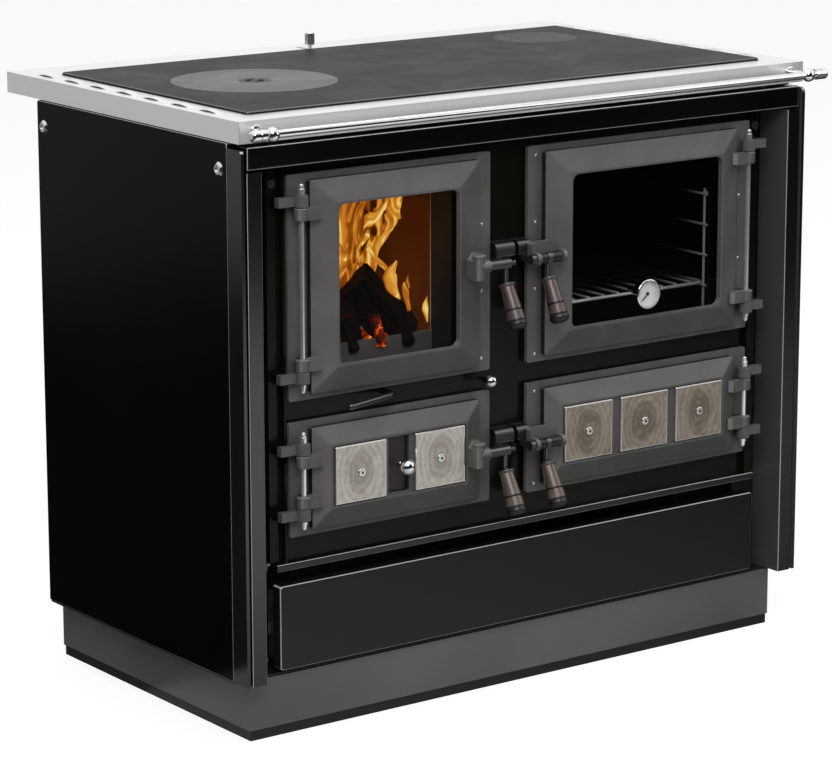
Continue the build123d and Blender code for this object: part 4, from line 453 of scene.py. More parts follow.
def satin_sheet(name, colour, rough=0.42, metallic=0.0, level=0.5):
    b = Bench(name, Metallic=metallic, Specular_IOR_Level=level)
    rolled = b.noise(1.0, 3.0, 0.5, vector=b.stretched(8, 8, 140))
    cloud = b.noise(5.0, 3.0, 0.6, 0.5)
    b.set("Base Color", b.colour(cloud.ramp(0.3, 0.75) * 0.6 + rolled.ramp(0.3, 0.7) * 0.4,
                                 shade(colour, 0.87), shade(colour, 1.13)))
    b.set("Roughness", cloud.ramp(0.3, 0.75, rough - 0.05, rough + 0.06))
    b.bump(b.noise(900.0, 2.0, 0.5), 0.08, 0.0003)
    return b.material


def spangled_zinc(name):
    b = Bench(name, Metallic=0.75)
    cells = b.add("ShaderNodeTexVoronoi", {"feature": "F1"}, {"Vector": b.place, "Scale": 90.0},
                  out="Color")
    shine = b.add("ShaderNodeSeparateColor", {}, {0: cells}, out=0)
    b.set("Base Color", b.colour(shine, (0.30, 0.31, 0.32), (0.42, 0.43, 0.44)))
    b.set("Roughness", shine.ramp(0, 1, 0.34, 0.52))
    return b.material


def fireclay(name):
    """Scorched brick, its orange partly painted firelight, glowing with painted firelight low near
    the fire, less at top and back.
    """
    b = Bench(name, Roughness=0.9, Specular_IOR_Level=0.2, Emission_Strength=0.5)
    cloud = b.noise(16.0, 4.0, 0.65, 0.3)
    # painted firelight: the glow is strongest near the front and low down
    painted_firelight = b.y.smooth(0.02, -0.16) * b.z.ramp(0.50, 0.78, 1.0, 0.55)
    # clay colour: scorched brick, its orange partly painted firelight
    clay = b.colour(cloud.ramp(0.3, 0.7), (0.062, 0.017, 0.002), (0.100, 0.028, 0.003))
    b.set("Base Color", clay)
    b.set("Emission Color", b.colour(painted_firelight * cloud.ramp(0.2, 0.7, 0.7, 1.0), (0.030, 0.009, 0.001),
                                     (0.085, 0.016, 0.0006)))
    b.bump(b.noise(500.0, 2.0, 0.6), 0.4, 0.0006)
    return b.material


def sooted_iron(name):
    """Sooted plate; the steel channels beside the fire doorway are only blued."""
    b = Bench(name, Specular_IOR_Level=0.15)
    soot = b.noise(60.0, 4.0, 0.7)
    channel = (b.y.between(CHANNEL_FRONT, CHANNEL_BACK) * (abs(b.x - DOORWAY_X) < DOORWAY_HALF)
               * (b.z > DOORWAY_FOOT))
    # painted highlight: a near white strip at the back edge of each channel
    rim = channel * (b.y > CHANNEL_RIM)
    steel = b.colour(b.z.ramp(0.50, 0.76), (0.038, 0.040, 0.042), (0.010, 0.013, 0.017))
    base = b.colour(soot.ramp(0.35, 0.7), (0.010, 0.0095, 0.009), (0.020, 0.019, 0.018))
    b.set("Base Color", b.colour(rim, b.colour(channel, base, steel), (0.95, 0.95, 0.95)))
    b.set("Roughness", b.colour(channel, soot.ramp(0.3, 0.7, 0.6, 0.85), (0.42, 0.42, 0.42)))
    b.bump(soot, 0.2, 0.0006)
    return b.material


def speckled_enamel(name):
    b = Bench(name, Specular_IOR_Level=0.3)
    flecks = b.noise(1400.0, 1.0, 0.4).ramp(0.70, 0.74)
    b.set("Base Color", b.colour(flecks, (0.002, 0.002, 0.003), (0.05, 0.05, 0.055)))
    b.set("Roughness", b.noise(30.0).ramp(0.3, 0.7, 0.12, 0.2))
    b.bump(b.noise(300.0), 0.04, 0.0004)
    return b.material


def door_glass(name):
    """Clear heat-proof glass: thin, dark at a glance, brighter at grazing angles."""
    b = Bench(name, Roughness=0.02, Specular_IOR_Level=0.2)
    edge = b.add("ShaderNodeLayerWeight", {}, {"Blend": 0.2}, out="Fresnel")
    film = b.noise(12.0, 3.0, 0.6, 0.8)
    b.set("Base Color", b.colour(film.ramp(0.4, 0.8), (0.004, 0.004, 0.005),
                                 (0.008, 0.008, 0.010)))
    b.set("Alpha", edge.ramp(0.0, 1.0, 0.08, 0.7) + film.ramp(0.5, 0.8, 0.0, 0.03))
    return b.material


def woven_rope(name):
    b = Bench(name, Roughness=0.95)
    braid = (b.x * 2400 + b.z * 2400).sine() * (b.x * 2400 - b.z * 2400).sine()
    b.set("Base Color", b.colour(braid.ramp(-1, 1), (0.10, 0.10, 0.095), (0.26, 0.26, 0.24)))
    b.bump(braid, 0.6, 0.0008)
    return b.material


def turned_wood(name, knee, tone):
    """Brown grip, grain along it, dark in its grooves and at its end, with a steel collar."""
    b = Bench(name, Specular_IOR_Level=0.5, Coat_Roughness=0.18)
    local = b.local(knee, (math.radians(GRIP_SLANT), 0, 0))
    gx, gy, gz = b.parts(local)
    down = gz * -1
    fibre = b.noise(1.0, 5.0, 0.65, 0.6, b.stretched(420, 420, 22, local))
    rings = ((gx * 900 + fibre * 5 + gy * 300).sine()).ramp(-1, 1)
    wood = b.stops(rings * 0.5 + fibre * 0.5, (0.1, shade(tone, 0.35)), (0.5, tone),
                   (0.9, shade(tone, 1.8)))
    dark = down.smooth(GRIP_CAP_START, GRIP_CAP_END)
    for groove in GRIP_GROOVES:
        dark = dark.most(1 - abs(down - groove).smooth(0.0008, 0.0018))
    collar = down < GRIP_COLLAR
    b.set("Base Color", b.colour(collar, b.colour(dark, wood, (0.010, 0.008, 0.007)),
                                 (0.11, 0.11, 0.11)))
    b.set("Roughness", b.colour(collar, fibre.ramp(0.3, 0.7, 0.34, 0.5), (0.35, 0.35, 0.35)))
    b.set("Metallic", collar * 0.6)
    b.set("Coat Weight", collar.most(dark).ramp(0, 1, 0.4, 0.1))
    b.bump(fibre * (1 - collar), 0.2, 0.0003)
    return b.material


def swirled_insert(name, centres, half, palette, face):
    """Polished enamel tile with a soft burl, a bright rim and a chrome screw, its drive socket
    painted dark as painted shade.
    """
    b = Bench(name, Specular_IOR_Level=0.5)
    near = None
    for cx, cz in centres:
        dx, dz = b.x - cx, b.z - cz
        span = abs(dx).most(abs(dz) * (half[0] / half[1]))
        radius = reach(dx, dz)
        if near is None:
            near, edge, lx, lz = radius, span, dx, dz
        else:
            closer = radius < near
            lx = lx * (1 - closer) + dx * closer
            lz = lz * (1 - closer) + dz * closer
            edge = edge.least(span)
            near = near.least(radius)
    warp = b.noise(22.0, 3.0, 0.55, 0.8)
    fine = b.noise(180.0, 3.0, 0.6, 0.5)
    cloud = b.noise(34.0, 3.0, 0.55, 1.2)
    oval = ((lx * lx * 1.5 + lz * lz * 0.7) ** 0.5) * 620 + warp * 16
    swirl = oval.sine().ramp(-1, 1) * 0.13 + fine * 0.37 + cloud * 0.50
    pool = 1 - ((lx * lx + lz * lz * 0.6) ** 0.5 + warp * 0.012).smooth(0.022, 0.036)
    tile = b.stops(swirl - pool * 0.20, (0.25, palette[0]), (0.45, palette[1]), (0.62, palette[2]))
    rim = edge.ramp(half[0] - TILE_RIM_OUT, half[0] - TILE_RIM_IN)
    screw = (near < TILE_SCREW) * (b.y < face - 0.0001)
    # painted shade: the screw's drive socket is painted dark
    socket = (near < TILE_SOCKET) * screw
    metal = rim.most(screw) * (1 - socket)
    b.set("Base Color", b.colour(socket, b.colour(metal, tile, (0.66, 0.64, 0.61)),
                                 (0.02, 0.02, 0.02)))
    b.set("Metallic", metal.ramp(0, 1, 0.1, 0.9))
    b.set("Roughness", metal.ramp(0, 1, 0.30, 0.18) + fine.ramp(0.4, 0.8, 0.0, 0.05))
    b.bump(swirl, 0.05, 0.0004)
    return b.material


def air_control(name):
    """Dark slide plate behind the ash door with a chrome stem, collar and ball."""
    b = Bench(name)
    plate = b.y > AIR_SLIDE_SEAT
    wipe = b.noise(60.0, 3.0, 0.6, 0.5)
    b.set("Base Color", b.colour(plate, (0.80, 0.80, 0.81), (0.014, 0.014, 0.014)))
    b.set("Metallic", 1 - plate)
    b.set("Roughness", plate.ramp(0, 1, 0.04, 0.45) + wipe.ramp(0.4, 0.8, 0.0, 0.05))
    return b.material


def dial_finish(name):
    """Chrome case with a white dial plate inside it."""
    b = Bench(name)
    inside = ((reach(b.x - DIAL_X, b.z - DIAL_Z) < DIAL_RADIUS)
              * b.y.between(DIAL_FRONT, DIAL_BACK))
    wipe = b.noise(60.0, 3.0, 0.6, 0.5)
    b.set("Base Color", b.colour(inside, (0.82, 0.82, 0.83), (0.78, 0.78, 0.76)))
    b.set("Metallic", 1 - inside)
    b.set("Roughness", inside.ramp(0, 1, 0.08, 0.5) + wipe.ramp(0.4, 0.8, 0.0, 0.06))
    return b.material


def charred_wood(name, glow, hot_low, hot_high):
    """Black crazed charcoal with glowing seams towards the embers."""
    b = Bench(name, Roughness=0.9, Specular_IOR_Level=0.15, Emission_Strength=1.0)
    cells = b.add("ShaderNodeTexVoronoi", {"feature": "DISTANCE_TO_EDGE"},
                  {"Vector": b.place, "Scale": 70.0}, out="Distance")
    rough = b.noise(90.0, 4.0, 0.7)
    patch = b.noise(26.0, 2.0, 0.5).smooth(hot_low, hot_high)
    seam = patch * (0.35 + (1 - cells.smooth(0.01, 0.12)) * 0.65)
    b.set("Base Color", b.colour(rough.ramp(0.35, 0.75), (0.0015, 0.001, 0.001),
                                 (0.012, 0.008, 0.007)))
    b.set("Emission Color", b.stops(seam * glow, (0.0, (0.0, 0.0, 0.0)),
                                    (0.35, (0.22, 0.012, 0.0)), (0.7, (0.85, 0.17, 0.008)),
                                    (1.0, (1.0, 0.62, 0.16))))
    b.bump(cells.ramp(0.0, 0.2) + rough, 0.7, 0.002)
    return b.material


def flame_finish(name, seed, wide, tall, cut, heat):
    """Licking flame over a strip's own coordinates: streaks along it, torn at its sides."""
    b = Bench(name, Roughness=1.0, Specular_IOR_Level=0.0, Base_Color=(0.0, 0.0, 0.0, 1.0),
              Emission_Strength=1.0)
    u, v = b.parts(b.add("ShaderNodeTexCoord", out="UV"))[:2]
    sway = b.noise(1.0, 2.0, 0.5, 0.0, b.add("ShaderNodeCombineXYZ", {}, {
        0: u * wide * 0.6 + seed, 1: seed, 2: v * tall}))

    def lick(broad, long, twist, detail):
        spot = b.add("ShaderNodeCombineXYZ", {}, {0: u * wide * broad + sway * twist + seed,
                                                  1: seed, 2: v * tall * long - sway * twist})
        return b.noise(1.0, detail, 0.5, 0.4, spot)

    mass = lick(1.0, 1.0, 3.0, 2.0)
    veins = lick(1.5, 0.8, 4.0, 2.0)
    core = 1 - abs(u * 2 - 1)
    body = mass + core.ramp(0.0, 0.5, -cut, 0.0) - v.ramp(0.6, 1.0, 0.0, 0.06)
    ridge = 1 - abs(veins * 2 - 1).ramp(0.0, 0.16)
    glow = body.ramp(0.40, 0.62, 0.08, 0.55) + ridge * ridge * 0.36 + heat
    b.set("Emission Color", b.stops(glow, (0.0, (0.07, 0.012, 0.0)), (0.25, (0.36, 0.085, 0.003)),
                                    (0.5, (0.74, 0.27, 0.025)), (0.75, (0.98, 0.62, 0.12)),
                                    (1.0, (1.0, 0.90, 0.45))))
    b.set("Alpha", body.smooth(0.40, 0.45) * v.ramp(0.0, 0.06))
    return b.material


# ------------------------------------------------------------------ mesh helpers
def piece(name, mesh, material, body, smooth=False):
    """Turns a bmesh into an object of that name and lets it ride on a body."""
    data = bpy.data.meshes.new(name)
    bmesh.ops.recalc_face_normals(mesh, faces=mesh.faces)
    mesh.to_mesh(data)
    mesh.free()
    data.polygons.foreach_set("use_smooth", [smooth] * len(data.polygons))
    data.materials.append(material)
    made = bpy.data.objects.new(name, data)
    bpy.context.collection.objects.link(made)
    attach(made, body)
    return made


def dress(material, *nodes):
    """Gives CAD nodes their finish."""
    for name in nodes:
        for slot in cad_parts[name].material_slots:
            slot.material = material


def along(start, end, roll=0.0):
    """Matrix that lays the Z axis from one point to another, turned about itself."""
    start, end = Vector(start), Vector(end)
    turn = (end - start).to_track_quat("Z", "Y").to_matrix().to_4x4()
    return Matrix.Translation((start + end) / 2) @ turn @ Matrix.Rotation(roll, 4, "Z")


def roughened(mesh, shift, coarse, fine):
    """Splits and bark: moves the points out and in by two sizes of noise."""
    for v in mesh.verts:
        spot = v.co + Vector((shift, 0, 0))
        v.co += v.normal * (coarse * noise.noise(spot * 28) + fine * noise.noise(spot * 95))


def billet(start, end, wide, deep, roll, seed):
    """Split log: a bevelled bar with a torn surface, laid between two points."""
    length = (Vector(end) - Vector(start)).length
    mesh = bmesh.new()
    bmesh.ops.create_cube(mesh, size=1.0)
    bmesh.ops.scale(mesh, vec=(wide, deep, length), verts=mesh.verts)
    bmesh.ops.bevel(mesh, geom=mesh.edges[:], offset=min(wide, deep) * 0.06, segments=2,
                    profile=0.5, affect="EDGES", material=-1)
    long_edges = [e for e in mesh.edges if e.calc_length() > min(wide, deep) * 0.5]
    bmesh.ops.subdivide_edges(mesh, edges=long_edges, cuts=9, use_grid_fill=True)
    mesh.normal_update()
    roughened(mesh, seed, wide * 0.03, wide * 0.02)
    bmesh.ops.transform(mesh, matrix=along(start, end, roll), verts=mesh.verts)
    return mesh


def ribbon(points, turn):
    """Flame strip: a grid laid along a smooth line through the points, bulging forward."""
    mesh = bmesh.new()
    mesh.loops.layers.uv.new("strip")
    spans = len(points) - 1
    rows = RIBBON_STEPS * spans
    bmesh.ops.create_grid(mesh, x_segments=RIBBON_STEPS, y_segments=rows, size=1.0,
                          calc_uvs=True)
    for v in mesh.verts:
        side, row = v.co.x, round((v.co.y + 1) / 2 * rows)
        span = min(row // RIBBON_STEPS, spans - 1)
        t = row / RIBBON_STEPS - span
        a, b, c, d = (points[max(0, min(spans, span + step))] for step in (-1, 0, 1, 2))
        spot = 0.5 * (2 * b + t * (c - a) + t * t * (2 * a - 5 * b + 4 * c - d)
                      + t * t * t * (3 * b - 3 * c + d - a))
        slope = (c - b).xyz.normalized()
        across = Vector((slope.z, 0, -slope.x)) * max(spot.w, RIBBON_LEAST)
        bulge = (1 - side * side) * min(spot.w, RIBBON_BULGE) * 0.5
        wave = 0.004 * math.sin(row * 0.5 + turn) * side / 2
        v.co = spot.xyz + across * side + Vector((0, wave - bulge, 0))
    return mesh


# ------------------------------------------------------------------ settings
class StoveColours(PropertyGroup):
    """Colours a user would change."""

    enamel: FloatVectorProperty(name="Enamel", description="Glossy enamel of the casing",
                                subtype="COLOR", size=3, default=(0.0016, 0.0016, 0.0018))
    plate: FloatVectorProperty(name="Front plate", description="Enamel of the cast front plate",
                               subtype="COLOR", size=3, default=(0.005, 0.005, 0.003))
    cast: FloatVectorProperty(name="Cast doors", description="Stove paint of the cast doors",
                              subtype="COLOR", size=3, default=(0.126, 0.124, 0.120))
    fittings: FloatVectorProperty(name="Fittings", description="Handle brackets and levers",
                                  subtype="COLOR", size=3, default=(0.022, 0.022, 0.023))
    plinth: FloatVectorProperty(name="Plinth", description="Satin paint of the plinth",
                                subtype="COLOR", size=3, default=(0.105, 0.105, 0.105))
    steel: FloatVectorProperty(name="Hob frame", description="Brushed steel of the hob frame",
                               subtype="COLOR", size=3, default=(0.84, 0.84, 0.83))
    hob: FloatVectorProperty(name="Hob plate", description="Ground iron of the hob plate",
                             subtype="COLOR", size=3, default=(0.021, 0.021, 0.021))


class StoveFire(PropertyGroup):
    """Sizes of the fire behind the glass."""

    log_width: FloatProperty(name="Log width", description="Width of the split log",
                             unit="LENGTH", default=0.064, min=0.02, max=0.09)
    embers: IntProperty(name="Embers", description="Number of embers on the grate", default=60,
                        min=5, max=200)
    flame_height: FloatProperty(name="Flame height", description="Height of the flames",
                                unit="LENGTH", default=FLAME_HEIGHT, min=0.05, max=0.30)


class StoveStage(PropertyGroup):
    """Camera and light."""

    lens: FloatProperty(name="Lens", description="Focal length on a 36 mm frame",
                        unit="CAMERA", default=149.3, min=20.0, max=300.0)
    key: FloatProperty(name="Key light", description="Power that the lamps take shares of",
                       unit="POWER", default=60.0, min=0.0)


# ------------------------------------------------------------------ operators
class STOVE_OT_hob(Operator):
    """Finishes of the hob, its covers, the rail and the damper knob"""

    bl_idname = "stove.hob"
    bl_label = "Hob"

    def execute(self, context):
        c = context.scene.stove_colours
        dress(brushed_steel("hob_frame_steel", tuple(c.steel), sides=True), "hob_frame")
        dress(brushed_steel("damper_steel", (0.5, 0.5, 0.5)), "damper_slide")
        dress(ground_iron("hob_plate_iron", tuple(c.hob)), "hob_plate")
        lo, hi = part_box("ring_cover")
        centre = ((lo[0] + hi[0]) / 2, (lo[1] + hi[1]) / 2)
        dress(ground_iron("ring_iron", shade(c.hob, 7.2), centre), "ring_cover")
        # the lid is painted darker than the ring round it, as painted shade of the gap between
        # them
        dress(ground_iron("lid_iron", shade(c.hob, 3.0), centre), "ring_lid")
        dress(ground_iron("flue_cover_iron", shade(c.hob, 3.0)), "flue_cover")
        dress(chrome("rail_chrome"), "front_rail", "damper_knob")
        return {"FINISHED"}


class STOVE_OT_casing(Operator):
    """Finishes of the panels, posts, front plate, drawer, plinth and back"""

    bl_idname = "stove.casing"
    bl_label = "Casing"

    def execute(self, context):
        c = context.scene.stove_colours
        dress(gloss_enamel("panel_enamel", tuple(c.enamel), 0.18, 0.07), "side_panels")
        # lit paints the posts' inward faces on the right paler, a painted highlight
        dress(gloss_enamel("post_enamel", shade(c.enamel, 1.5), 0.12, 0.75, lit=0.09),
              "corner_posts")
        dress(gloss_enamel("fascia_enamel", shade(c.enamel, 1.5), 0.12, 0.3), "top_fascia")
        dress(plate_finish("front_plate_enamel", tuple(c.plate), tuple(c.cast)), "front_plate")
        dress(gloss_enamel("ledge_enamel", tuple(c.plate), 0.14, 0.4), "drawer_ledge")
        dress(matte_cast("catch_cast", tuple(c.fittings), 0.4), "door_catches")
        # fade paints the drawer front darker upward and to the right, a painted reflection
        dress(gloss_enamel("drawer_enamel", shade(c.enamel, 4.0), 0.30, 0.24,
                           fade=(DRAWER_FOOT, DRAWER_TOP)), "drawer_front")
        dress(gloss_enamel("plinth_paint", tuple(c.plinth), 0.34, 0.75), "plinth_skirt")
        dress(satin_sheet("chassis_paint", (0.014, 0.014, 0.014), 0.5), "base_frame")
        dress(spangled_zinc("zinc_sheet"), "back_panel", "drawer_bay", "drawer_box",
              "storage_box", "ash_pan")
        dress(screw_finish("screw_heads", (0.72, 0.72, 0.72)), "fixing_screws")
        return {"FINISHED"}


class STOVE_OT_doors(Operator):
    """Finishes of the cast doors, their glass, seals, hinges and handles"""

    bl_idname = "stove.doors"
    bl_label = "Doors"

    def execute(self, context):
        c = context.scene.stove_colours
        dress(matte_cast("door_cast", tuple(c.cast)), "fire_door_frame", "oven_door_frame",
              "ash_door_frame", "storage_door_frame")
        dress(matte_cast("fitting_cast", tuple(c.fittings), 0.28, 0.8), "fire_handle_lever",
              "oven_handle_lever", "ash_handle_lever", "storage_handle_lever")
        dress(satin_sheet("spring_wire", (0.10, 0.10, 0.10), 0.35, 0.8), "oven_handle_springs",
              "storage_handle_springs")
        dress(door_glass("window_glass"), "fire_door_glass", "oven_door_glass")
        dress(woven_rope("rope_seal"), "fire_door_seal", "oven_door_seal")
        dress(satin_sheet("clip_steel", (0.30, 0.30, 0.30), 0.35, 1.0), "fire_glass_clips",
              "oven_glass_clips")
        dress(satin_sheet("hinge_chrome", (0.85, 0.85, 0.85), 0.16, 0.8, 1.0), "hinge_pins")
        red, grey = (0.098, 0.062, 0.057), (0.150, 0.112, 0.088)
        for name, x, z, tone in (("fire", -0.066, 0.631, red), ("oven", 0.009, 0.631, red),
                                 ("ash", -0.066, 0.362, grey), ("storage", 0.009, 0.362, grey)):
            dress(turned_wood(name + "_grip_wood", (x, GRIP_Y, z - GRIP_DROP), tone),
                  name + "_handle_grip")
        return {"FINISHED"}


class STOVE_OT_inserts(Operator):
    """Finishes of the insert tiles, the air controls and the thermometer"""

    bl_idname = "stove.inserts"
    bl_label = "Inserts and controls"

    def execute(self, context):
        pale = ((0.36, 0.325, 0.285), (0.52, 0.475, 0.42), (0.64, 0.60, 0.54))
        brown = ((0.17, 0.135, 0.100), (0.28, 0.225, 0.170), (0.38, 0.325, 0.265))
        for name, palette, half, spots in (("ash", pale, (0.043, 0.041), (-0.068, 0.068)),
                                           ("storage", brown, (0.04425, 0.041),
                                            (-0.1045, 0.0, 0.1045))):
            lo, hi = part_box(name + "_door_plates")
            middle, level = (lo[0] + hi[0]) / 2, (lo[2] + hi[2]) / 2
            dress(swirled_insert(name + "_insert", [(middle + s, level) for s in spots], half,
                                 palette, lo[1] + TILE_SCREW_FACE), name + "_door_plates")
        dress(air_control("air_slide_steel"), "air_slide")
        dress(chrome("control_chrome"), "shaker_rod")
        dress(gloss_enamel("air_lever_black", (0.006, 0.006, 0.006), 0.12, 0.7, edge=0.01),
              "air_lever")
        dress(dial_finish("thermometer_case"), "thermometer_case")
        dress(satin_sheet("needle_black", (0.012, 0.012, 0.012), 0.5), "thermometer_needle")
        return {"FINISHED"}


class STOVE_OT_chambers(Operator):
    """Finishes of the firebox, grate, oven, rack and flue"""

    bl_idname = "stove.chambers"
    bl_label = "Chambers"

    def execute(self, context):
        dress(fireclay("fireclay"), "firebricks")
        dress(sooted_iron("sooted_iron"), "firebox_shell", "flue_casing")
        dress(matte_cast("grate_iron", (0.20, 0.195, 0.19), 0.6), "grate_frame", "grate_shaker")
        dress(matte_cast("flue_cast", (0.03, 0.03, 0.03), 0.6), "flue_collar")
        dress(speckled_enamel("oven_enamel"), "oven_shell")
        dress(rack_wire("rack_chrome"), "rack_guides", "oven_rack")
        return {"FINISHED"}


class STOVE_OT_logs(Operator):
    """Charred split logs, stubs over the guard and embers on the grate"""

    bl_idname = "stove.logs"
    bl_label = "Logs"

    def execute(self, context):
        f = context.scene.stove_fire
        finishes = {name: charred_wood(name, *heat) for name, heat in (
            ("charcoal", (0.4, 0.66, 0.8)), ("glowing_coal", (1.0, 0.38, 0.62)),
            ("half_burnt", (0.5, 0.5, 0.7)))}
        bars = [(name, start, end, f.log_width * wide, f.log_width * deep, roll, finish)
                for name, start, end, wide, deep, roll, finish in LOGS]
        bars += [(name, start, end, wide, deep, 0.0, finish)
                 for name, start, end, wide, deep, finish in STUBS]
        for seed, (name, start, end, wide, deep, roll, finish) in enumerate(bars, 1):
            piece(name, billet(start, end, wide, deep, roll, seed), finishes[finish], "stove")
        rng = random.Random(7)
        mesh = bmesh.new()
        for n in range(f.embers):
            lump = bmesh.ops.create_icosphere(mesh, subdivisions=2,
                                              radius=EMBER_RADIUS)["verts"]
            bmesh.ops.scale(mesh, vec=[rng.uniform(0.6, 1.4) for _ in range(3)], verts=lump)
            spot = [rng.uniform(low, high) for low, high in EMBER_BED]
            for v in lump:
                v.co += v.co * 0.4 * noise.noise(v.co * 160 + Vector((n, 0, 0)))
            bmesh.ops.translate(mesh, vec=spot, verts=lump)
        piece("embers", mesh, finishes["glowing_coal"], "stove")
        return {"FINISHED"}


class STOVE_OT_flames(Operator):
    """Flame sheets behind the logs and tongues that lick round them"""

    bl_idname = "stove.flames"
    bl_label = "Flames"

    def execute(self, context):
        f = context.scene.stove_fire
        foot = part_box("firebricks")[0][2] + FLAME_FOOT
        gain = f.flame_height / FLAME_HEIGHT
        for n, (heat, cut, spine) in enumerate(FLAMES):
            points = [Vector((x, y, foot + (z - foot) * gain, w)) for x, y, z, w in spine]
            length = sum((b - a).xyz.length for a, b in zip(points, points[1:]))
            wide = sum(p.w for p in points) / len(points) * 2
            name = "flame_%d" % (n + 1)
            finish = flame_finish(name, 1.7 * n + 0.4, wide * 30, length * 11, cut, heat)
            piece(name, ribbon(points, n), finish, "stove", smooth=True)
        return {"FINISHED"}


class STOVE_OT_dial(Operator):
    """Scale marks on the oven thermometer"""

    bl_idname = "stove.dial"
    bl_label = "Dial"

    def execute(self, context):
        ink = satin_sheet("dial_ink", (0.01, 0.01, 0.01), 0.6)
        centre = Vector((DIAL_X, DIAL_MARK_Y, DIAL_Z))
        mesh = bmesh.new()
        for n in range(DIAL_MARKS):
            long = n % 5 == 0
            size = (0.0005 if long else 0.00025, 0.0001, 0.0030 if long else 0.0016)
            angle = math.radians(DIAL_FIRST + DIAL_STEP * n)
            made = bmesh.ops.create_cube(mesh, size=1.0)["verts"]
            bmesh.ops.scale(mesh, vec=size, verts=made)
            bmesh.ops.translate(mesh, vec=(0, 0, DIAL_MARK_RADIUS - size[2] / 2), verts=made)
            bmesh.ops.rotate(mesh, cent=(0, 0, 0), matrix=Matrix.Rotation(angle, 3, "Y"),
                             verts=made)
            bmesh.ops.translate(mesh, vec=centre, verts=made)
        piece("dial_marks", mesh, ink, "oven_door")
        return {"FINISHED"}


class STOVE_OT_flange_screws(Operator):
    """Small bright screw heads on the flanges of the doors"""

    bl_idname = "stove.flange_screws"
    bl_label = "Flange screws"

    def execute(self, context):
        bright = chrome("flange_screw_chrome", (0.75, 0.75, 0.75), 0.14)
        for body, spots in FLANGE_SCREWS.items():
            mesh = bmesh.new()
            for x, z in spots:
                dome = bmesh.ops.create_uvsphere(mesh, u_segments=16, v_segments=10,
                                                 radius=FLANGE_SCREW_RADIUS)["verts"]
                bmesh.ops.scale(mesh, vec=(1, 0.6, 1), verts=dome)
                bmesh.ops.translate(mesh, vec=(x, FLANGE_SCREW_Y, z), verts=dome)
            piece(body + "_flange_screws", mesh, bright, body, smooth=True)
        return {"FINISHED"}


def lay_floor(scene):
    """Pale floor, which mirrors as a painted dark floor with painted pale bands of light before
    and behind the stove.
    """
    mesh = bmesh.new()
    bmesh.ops.create_grid(mesh, x_segments=1, y_segments=1, size=FLOOR_HALF)
    data = bpy.data.meshes.new("floor")
    mesh.to_mesh(data)
    mesh.free()
    floor = bpy.data.objects.new("floor", data)
    b = Bench("floor_paper", Roughness=0.9, Specular_IOR_Level=0.0, Emission_Strength=1.0)
    seen = b.add("ShaderNodeLightPath", out="Is Camera Ray")
    mirrored = b.add("ShaderNodeLightPath", out="Is Glossy Ray").most(
        b.add("ShaderNodeLightPath", out="Is Transmission Ray"))
    # painted pool of light, seen only in mirrors, along the camera's heading before the stove
    aside = (b.x - POST_FOOT_X) * VIEW_Y + (b.y - POST_FOOT_Y) * VIEW_X
    ahead = (b.x - POST_FOOT_X) * VIEW_X - (b.y - POST_FOOT_Y) * VIEW_Y
    front = ((1 - abs(aside).smooth(0.0, 1.5)) * (1 - ahead.smooth(2.2, 3.8))
             * b.y.ramp(-0.35, -1.3, 0.35, 1.0) * (b.y < 0))
    pale = front + b.y.ramp(2.2, 3.4) * 0.4
    # to mirrors the floor is painted dark, a painted reflection
    b.set("Base Color", b.colour(mirrored, (0.38, 0.38, 0.38), (0.05, 0.05, 0.05)))
    b.set("Emission Color", b.colour(seen, b.colour(mirrored * pale, (0, 0, 0),
                                                    (0.95, 0.95, 0.95)), (0.80, 0.80, 0.80)))
    data.materials.append(b.material)
    scene.collection.objects.link(floor)


def light_room(scene):
    """White to the camera, even to the surfaces, and to mirrors dark low down, white overhead."""
    world = bpy.data.worlds.new("studio")
    scene.world = world
    world.use_nodes = True
    tree = world.node_tree
    sky = tree.nodes["Background"]

    def node(kind, inputs, **settings):
        made = tree.nodes.new(kind)
        for key, value in settings.items():
            setattr(made, key, value)
        for key, value in inputs.items():
            if isinstance(value, bpy.types.NodeSocket):
                tree.links.new(value, made.inputs[key])
            else:
                made.inputs[key].default_value = value
        return made.outputs

    path = node("ShaderNodeLightPath", {})
    turned = node("ShaderNodeSeparateXYZ", {0: node("ShaderNodeTexCoord", {})["Generated"]})
    lean = node("ShaderNodeMath", {0: turned["Y"], 1: 0.55, 2: turned["Z"]},
                operation="MULTIPLY_ADD")[0]
    room = node("ShaderNodeMapRange", {"Value": lean, "From Min": 0.12, "From Max": 0.42,
                                       "To Min": 0.02, "To Max": 1.0})[0]
    mirror = node("ShaderNodeMath", {0: path["Is Glossy Ray"], 1: path["Is Transmission Ray"]},
                  operation="MAXIMUM")[0]
    plain = node("ShaderNodeMix", {0: mirror, 2: 0.36, 3: room})[0]
    level = node("ShaderNodeMix", {0: path["Is Camera Ray"], 2: plain, 3: 1.0})[0]
    sky.inputs["Color"].default_value = (1.0, 1.0, 1.0, 1.0)
    tree.links.new(level, sky.inputs["Strength"])


def hang_lamps(scene, key):
    for name, spot, size, share in LAMPS:
        lamp = bpy.data.lights.new(name, "AREA")
        lamp.energy = key * share
        lamp.size = size
        hung = bpy.data.objects.new(name, lamp)
        aim = Vector(LAMP_AIM) - Vector(spot)
        hung.matrix_world = (Matrix.Translation(spot)
                             @ aim.to_track_quat("-Z", "Y").to_matrix().to_4x4())
        scene.collection.objects.link(hung)


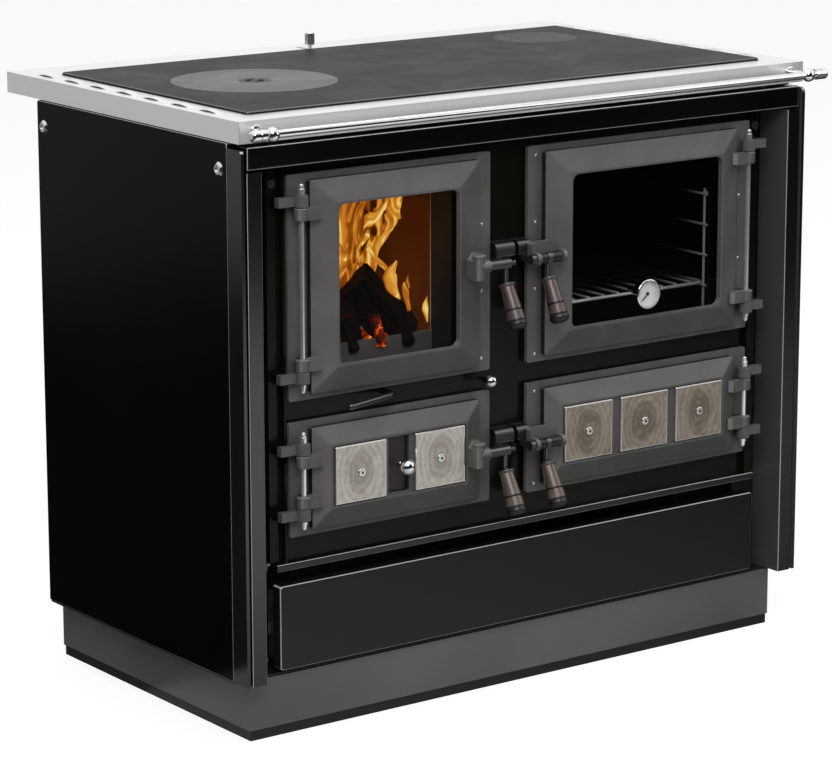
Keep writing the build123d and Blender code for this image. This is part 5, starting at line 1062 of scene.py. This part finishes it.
def seat_camera(scene, lens):
    camera = bpy.data.cameras.new("camera")
    camera.lens = lens
    camera.sensor_width = 36.0
    camera.sensor_fit = "HORIZONTAL"
    camera.clip_end = 60.0
    seat = bpy.data.objects.new("camera", camera)
    yaw, pitch, roll = (math.radians(a) for a in (CAMERA_YAW, CAMERA_PITCH, CAMERA_ROLL))
    forward = Vector((math.sin(yaw) * math.cos(pitch), math.cos(yaw) * math.cos(pitch),
                      -math.sin(pitch)))
    turn = forward.to_track_quat("-Z", "Y").to_matrix().to_4x4()
    seat.matrix_world = (Matrix.Translation(CAMERA_PLACE) @ turn
                         @ Matrix.Rotation(roll, 4, "Z"))
    scene.collection.objects.link(seat)
    scene.camera = seat


class STOVE_OT_stage(Operator):
    """Pale floor, plain soft light and the camera"""

    bl_idname = "stove.stage"
    bl_label = "Stage"

    def execute(self, context):
        s, scene = context.scene.stove_stage, context.scene
        scene.view_settings.view_transform = "Standard"
        lay_floor(scene)
        light_room(scene)
        hang_lamps(scene, s.key)
        seat_camera(scene, s.lens)
        return {"FINISHED"}


class STOVE_PT_panel(Panel):
    """Lists the makers of the cookstove"""

    bl_idname = "STOVE_PT_panel"
    bl_label = "Cookstove"
    bl_space_type = "VIEW_3D"
    bl_region_type = "UI"
    bl_category = "Cookstove"

    def draw(self, context):
        for group in (context.scene.stove_colours, context.scene.stove_fire,
                      context.scene.stove_stage):
            column = self.layout.column()
            for key in group.__annotations__:
                column.prop(group, key)
        for operator in MAKERS:
            self.layout.operator(operator.bl_idname)


MAKERS = (STOVE_OT_hob, STOVE_OT_casing, STOVE_OT_doors, STOVE_OT_inserts, STOVE_OT_chambers,
          STOVE_OT_logs, STOVE_OT_flames, STOVE_OT_dial, STOVE_OT_flange_screws, STOVE_OT_stage)
SETTINGS = (StoveColours, StoveFire, StoveStage)


def register():
    for item in SETTINGS + MAKERS + (STOVE_PT_panel,):
        bpy.utils.register_class(item)
    bpy.types.Scene.stove_colours = PointerProperty(type=StoveColours)
    bpy.types.Scene.stove_fire = PointerProperty(type=StoveFire)
    bpy.types.Scene.stove_stage = PointerProperty(type=StoveStage)


def unregister():
    del bpy.types.Scene.stove_stage
    del bpy.types.Scene.stove_fire
    del bpy.types.Scene.stove_colours
    for item in reversed(SETTINGS + MAKERS + (STOVE_PT_panel,)):
        bpy.utils.unregister_class(item)


def main():
    register()
    for operator in MAKERS:
        group, name = operator.bl_idname.split(".")
        getattr(getattr(bpy.ops, group), name)()


if __name__ == "__main__":
    main()
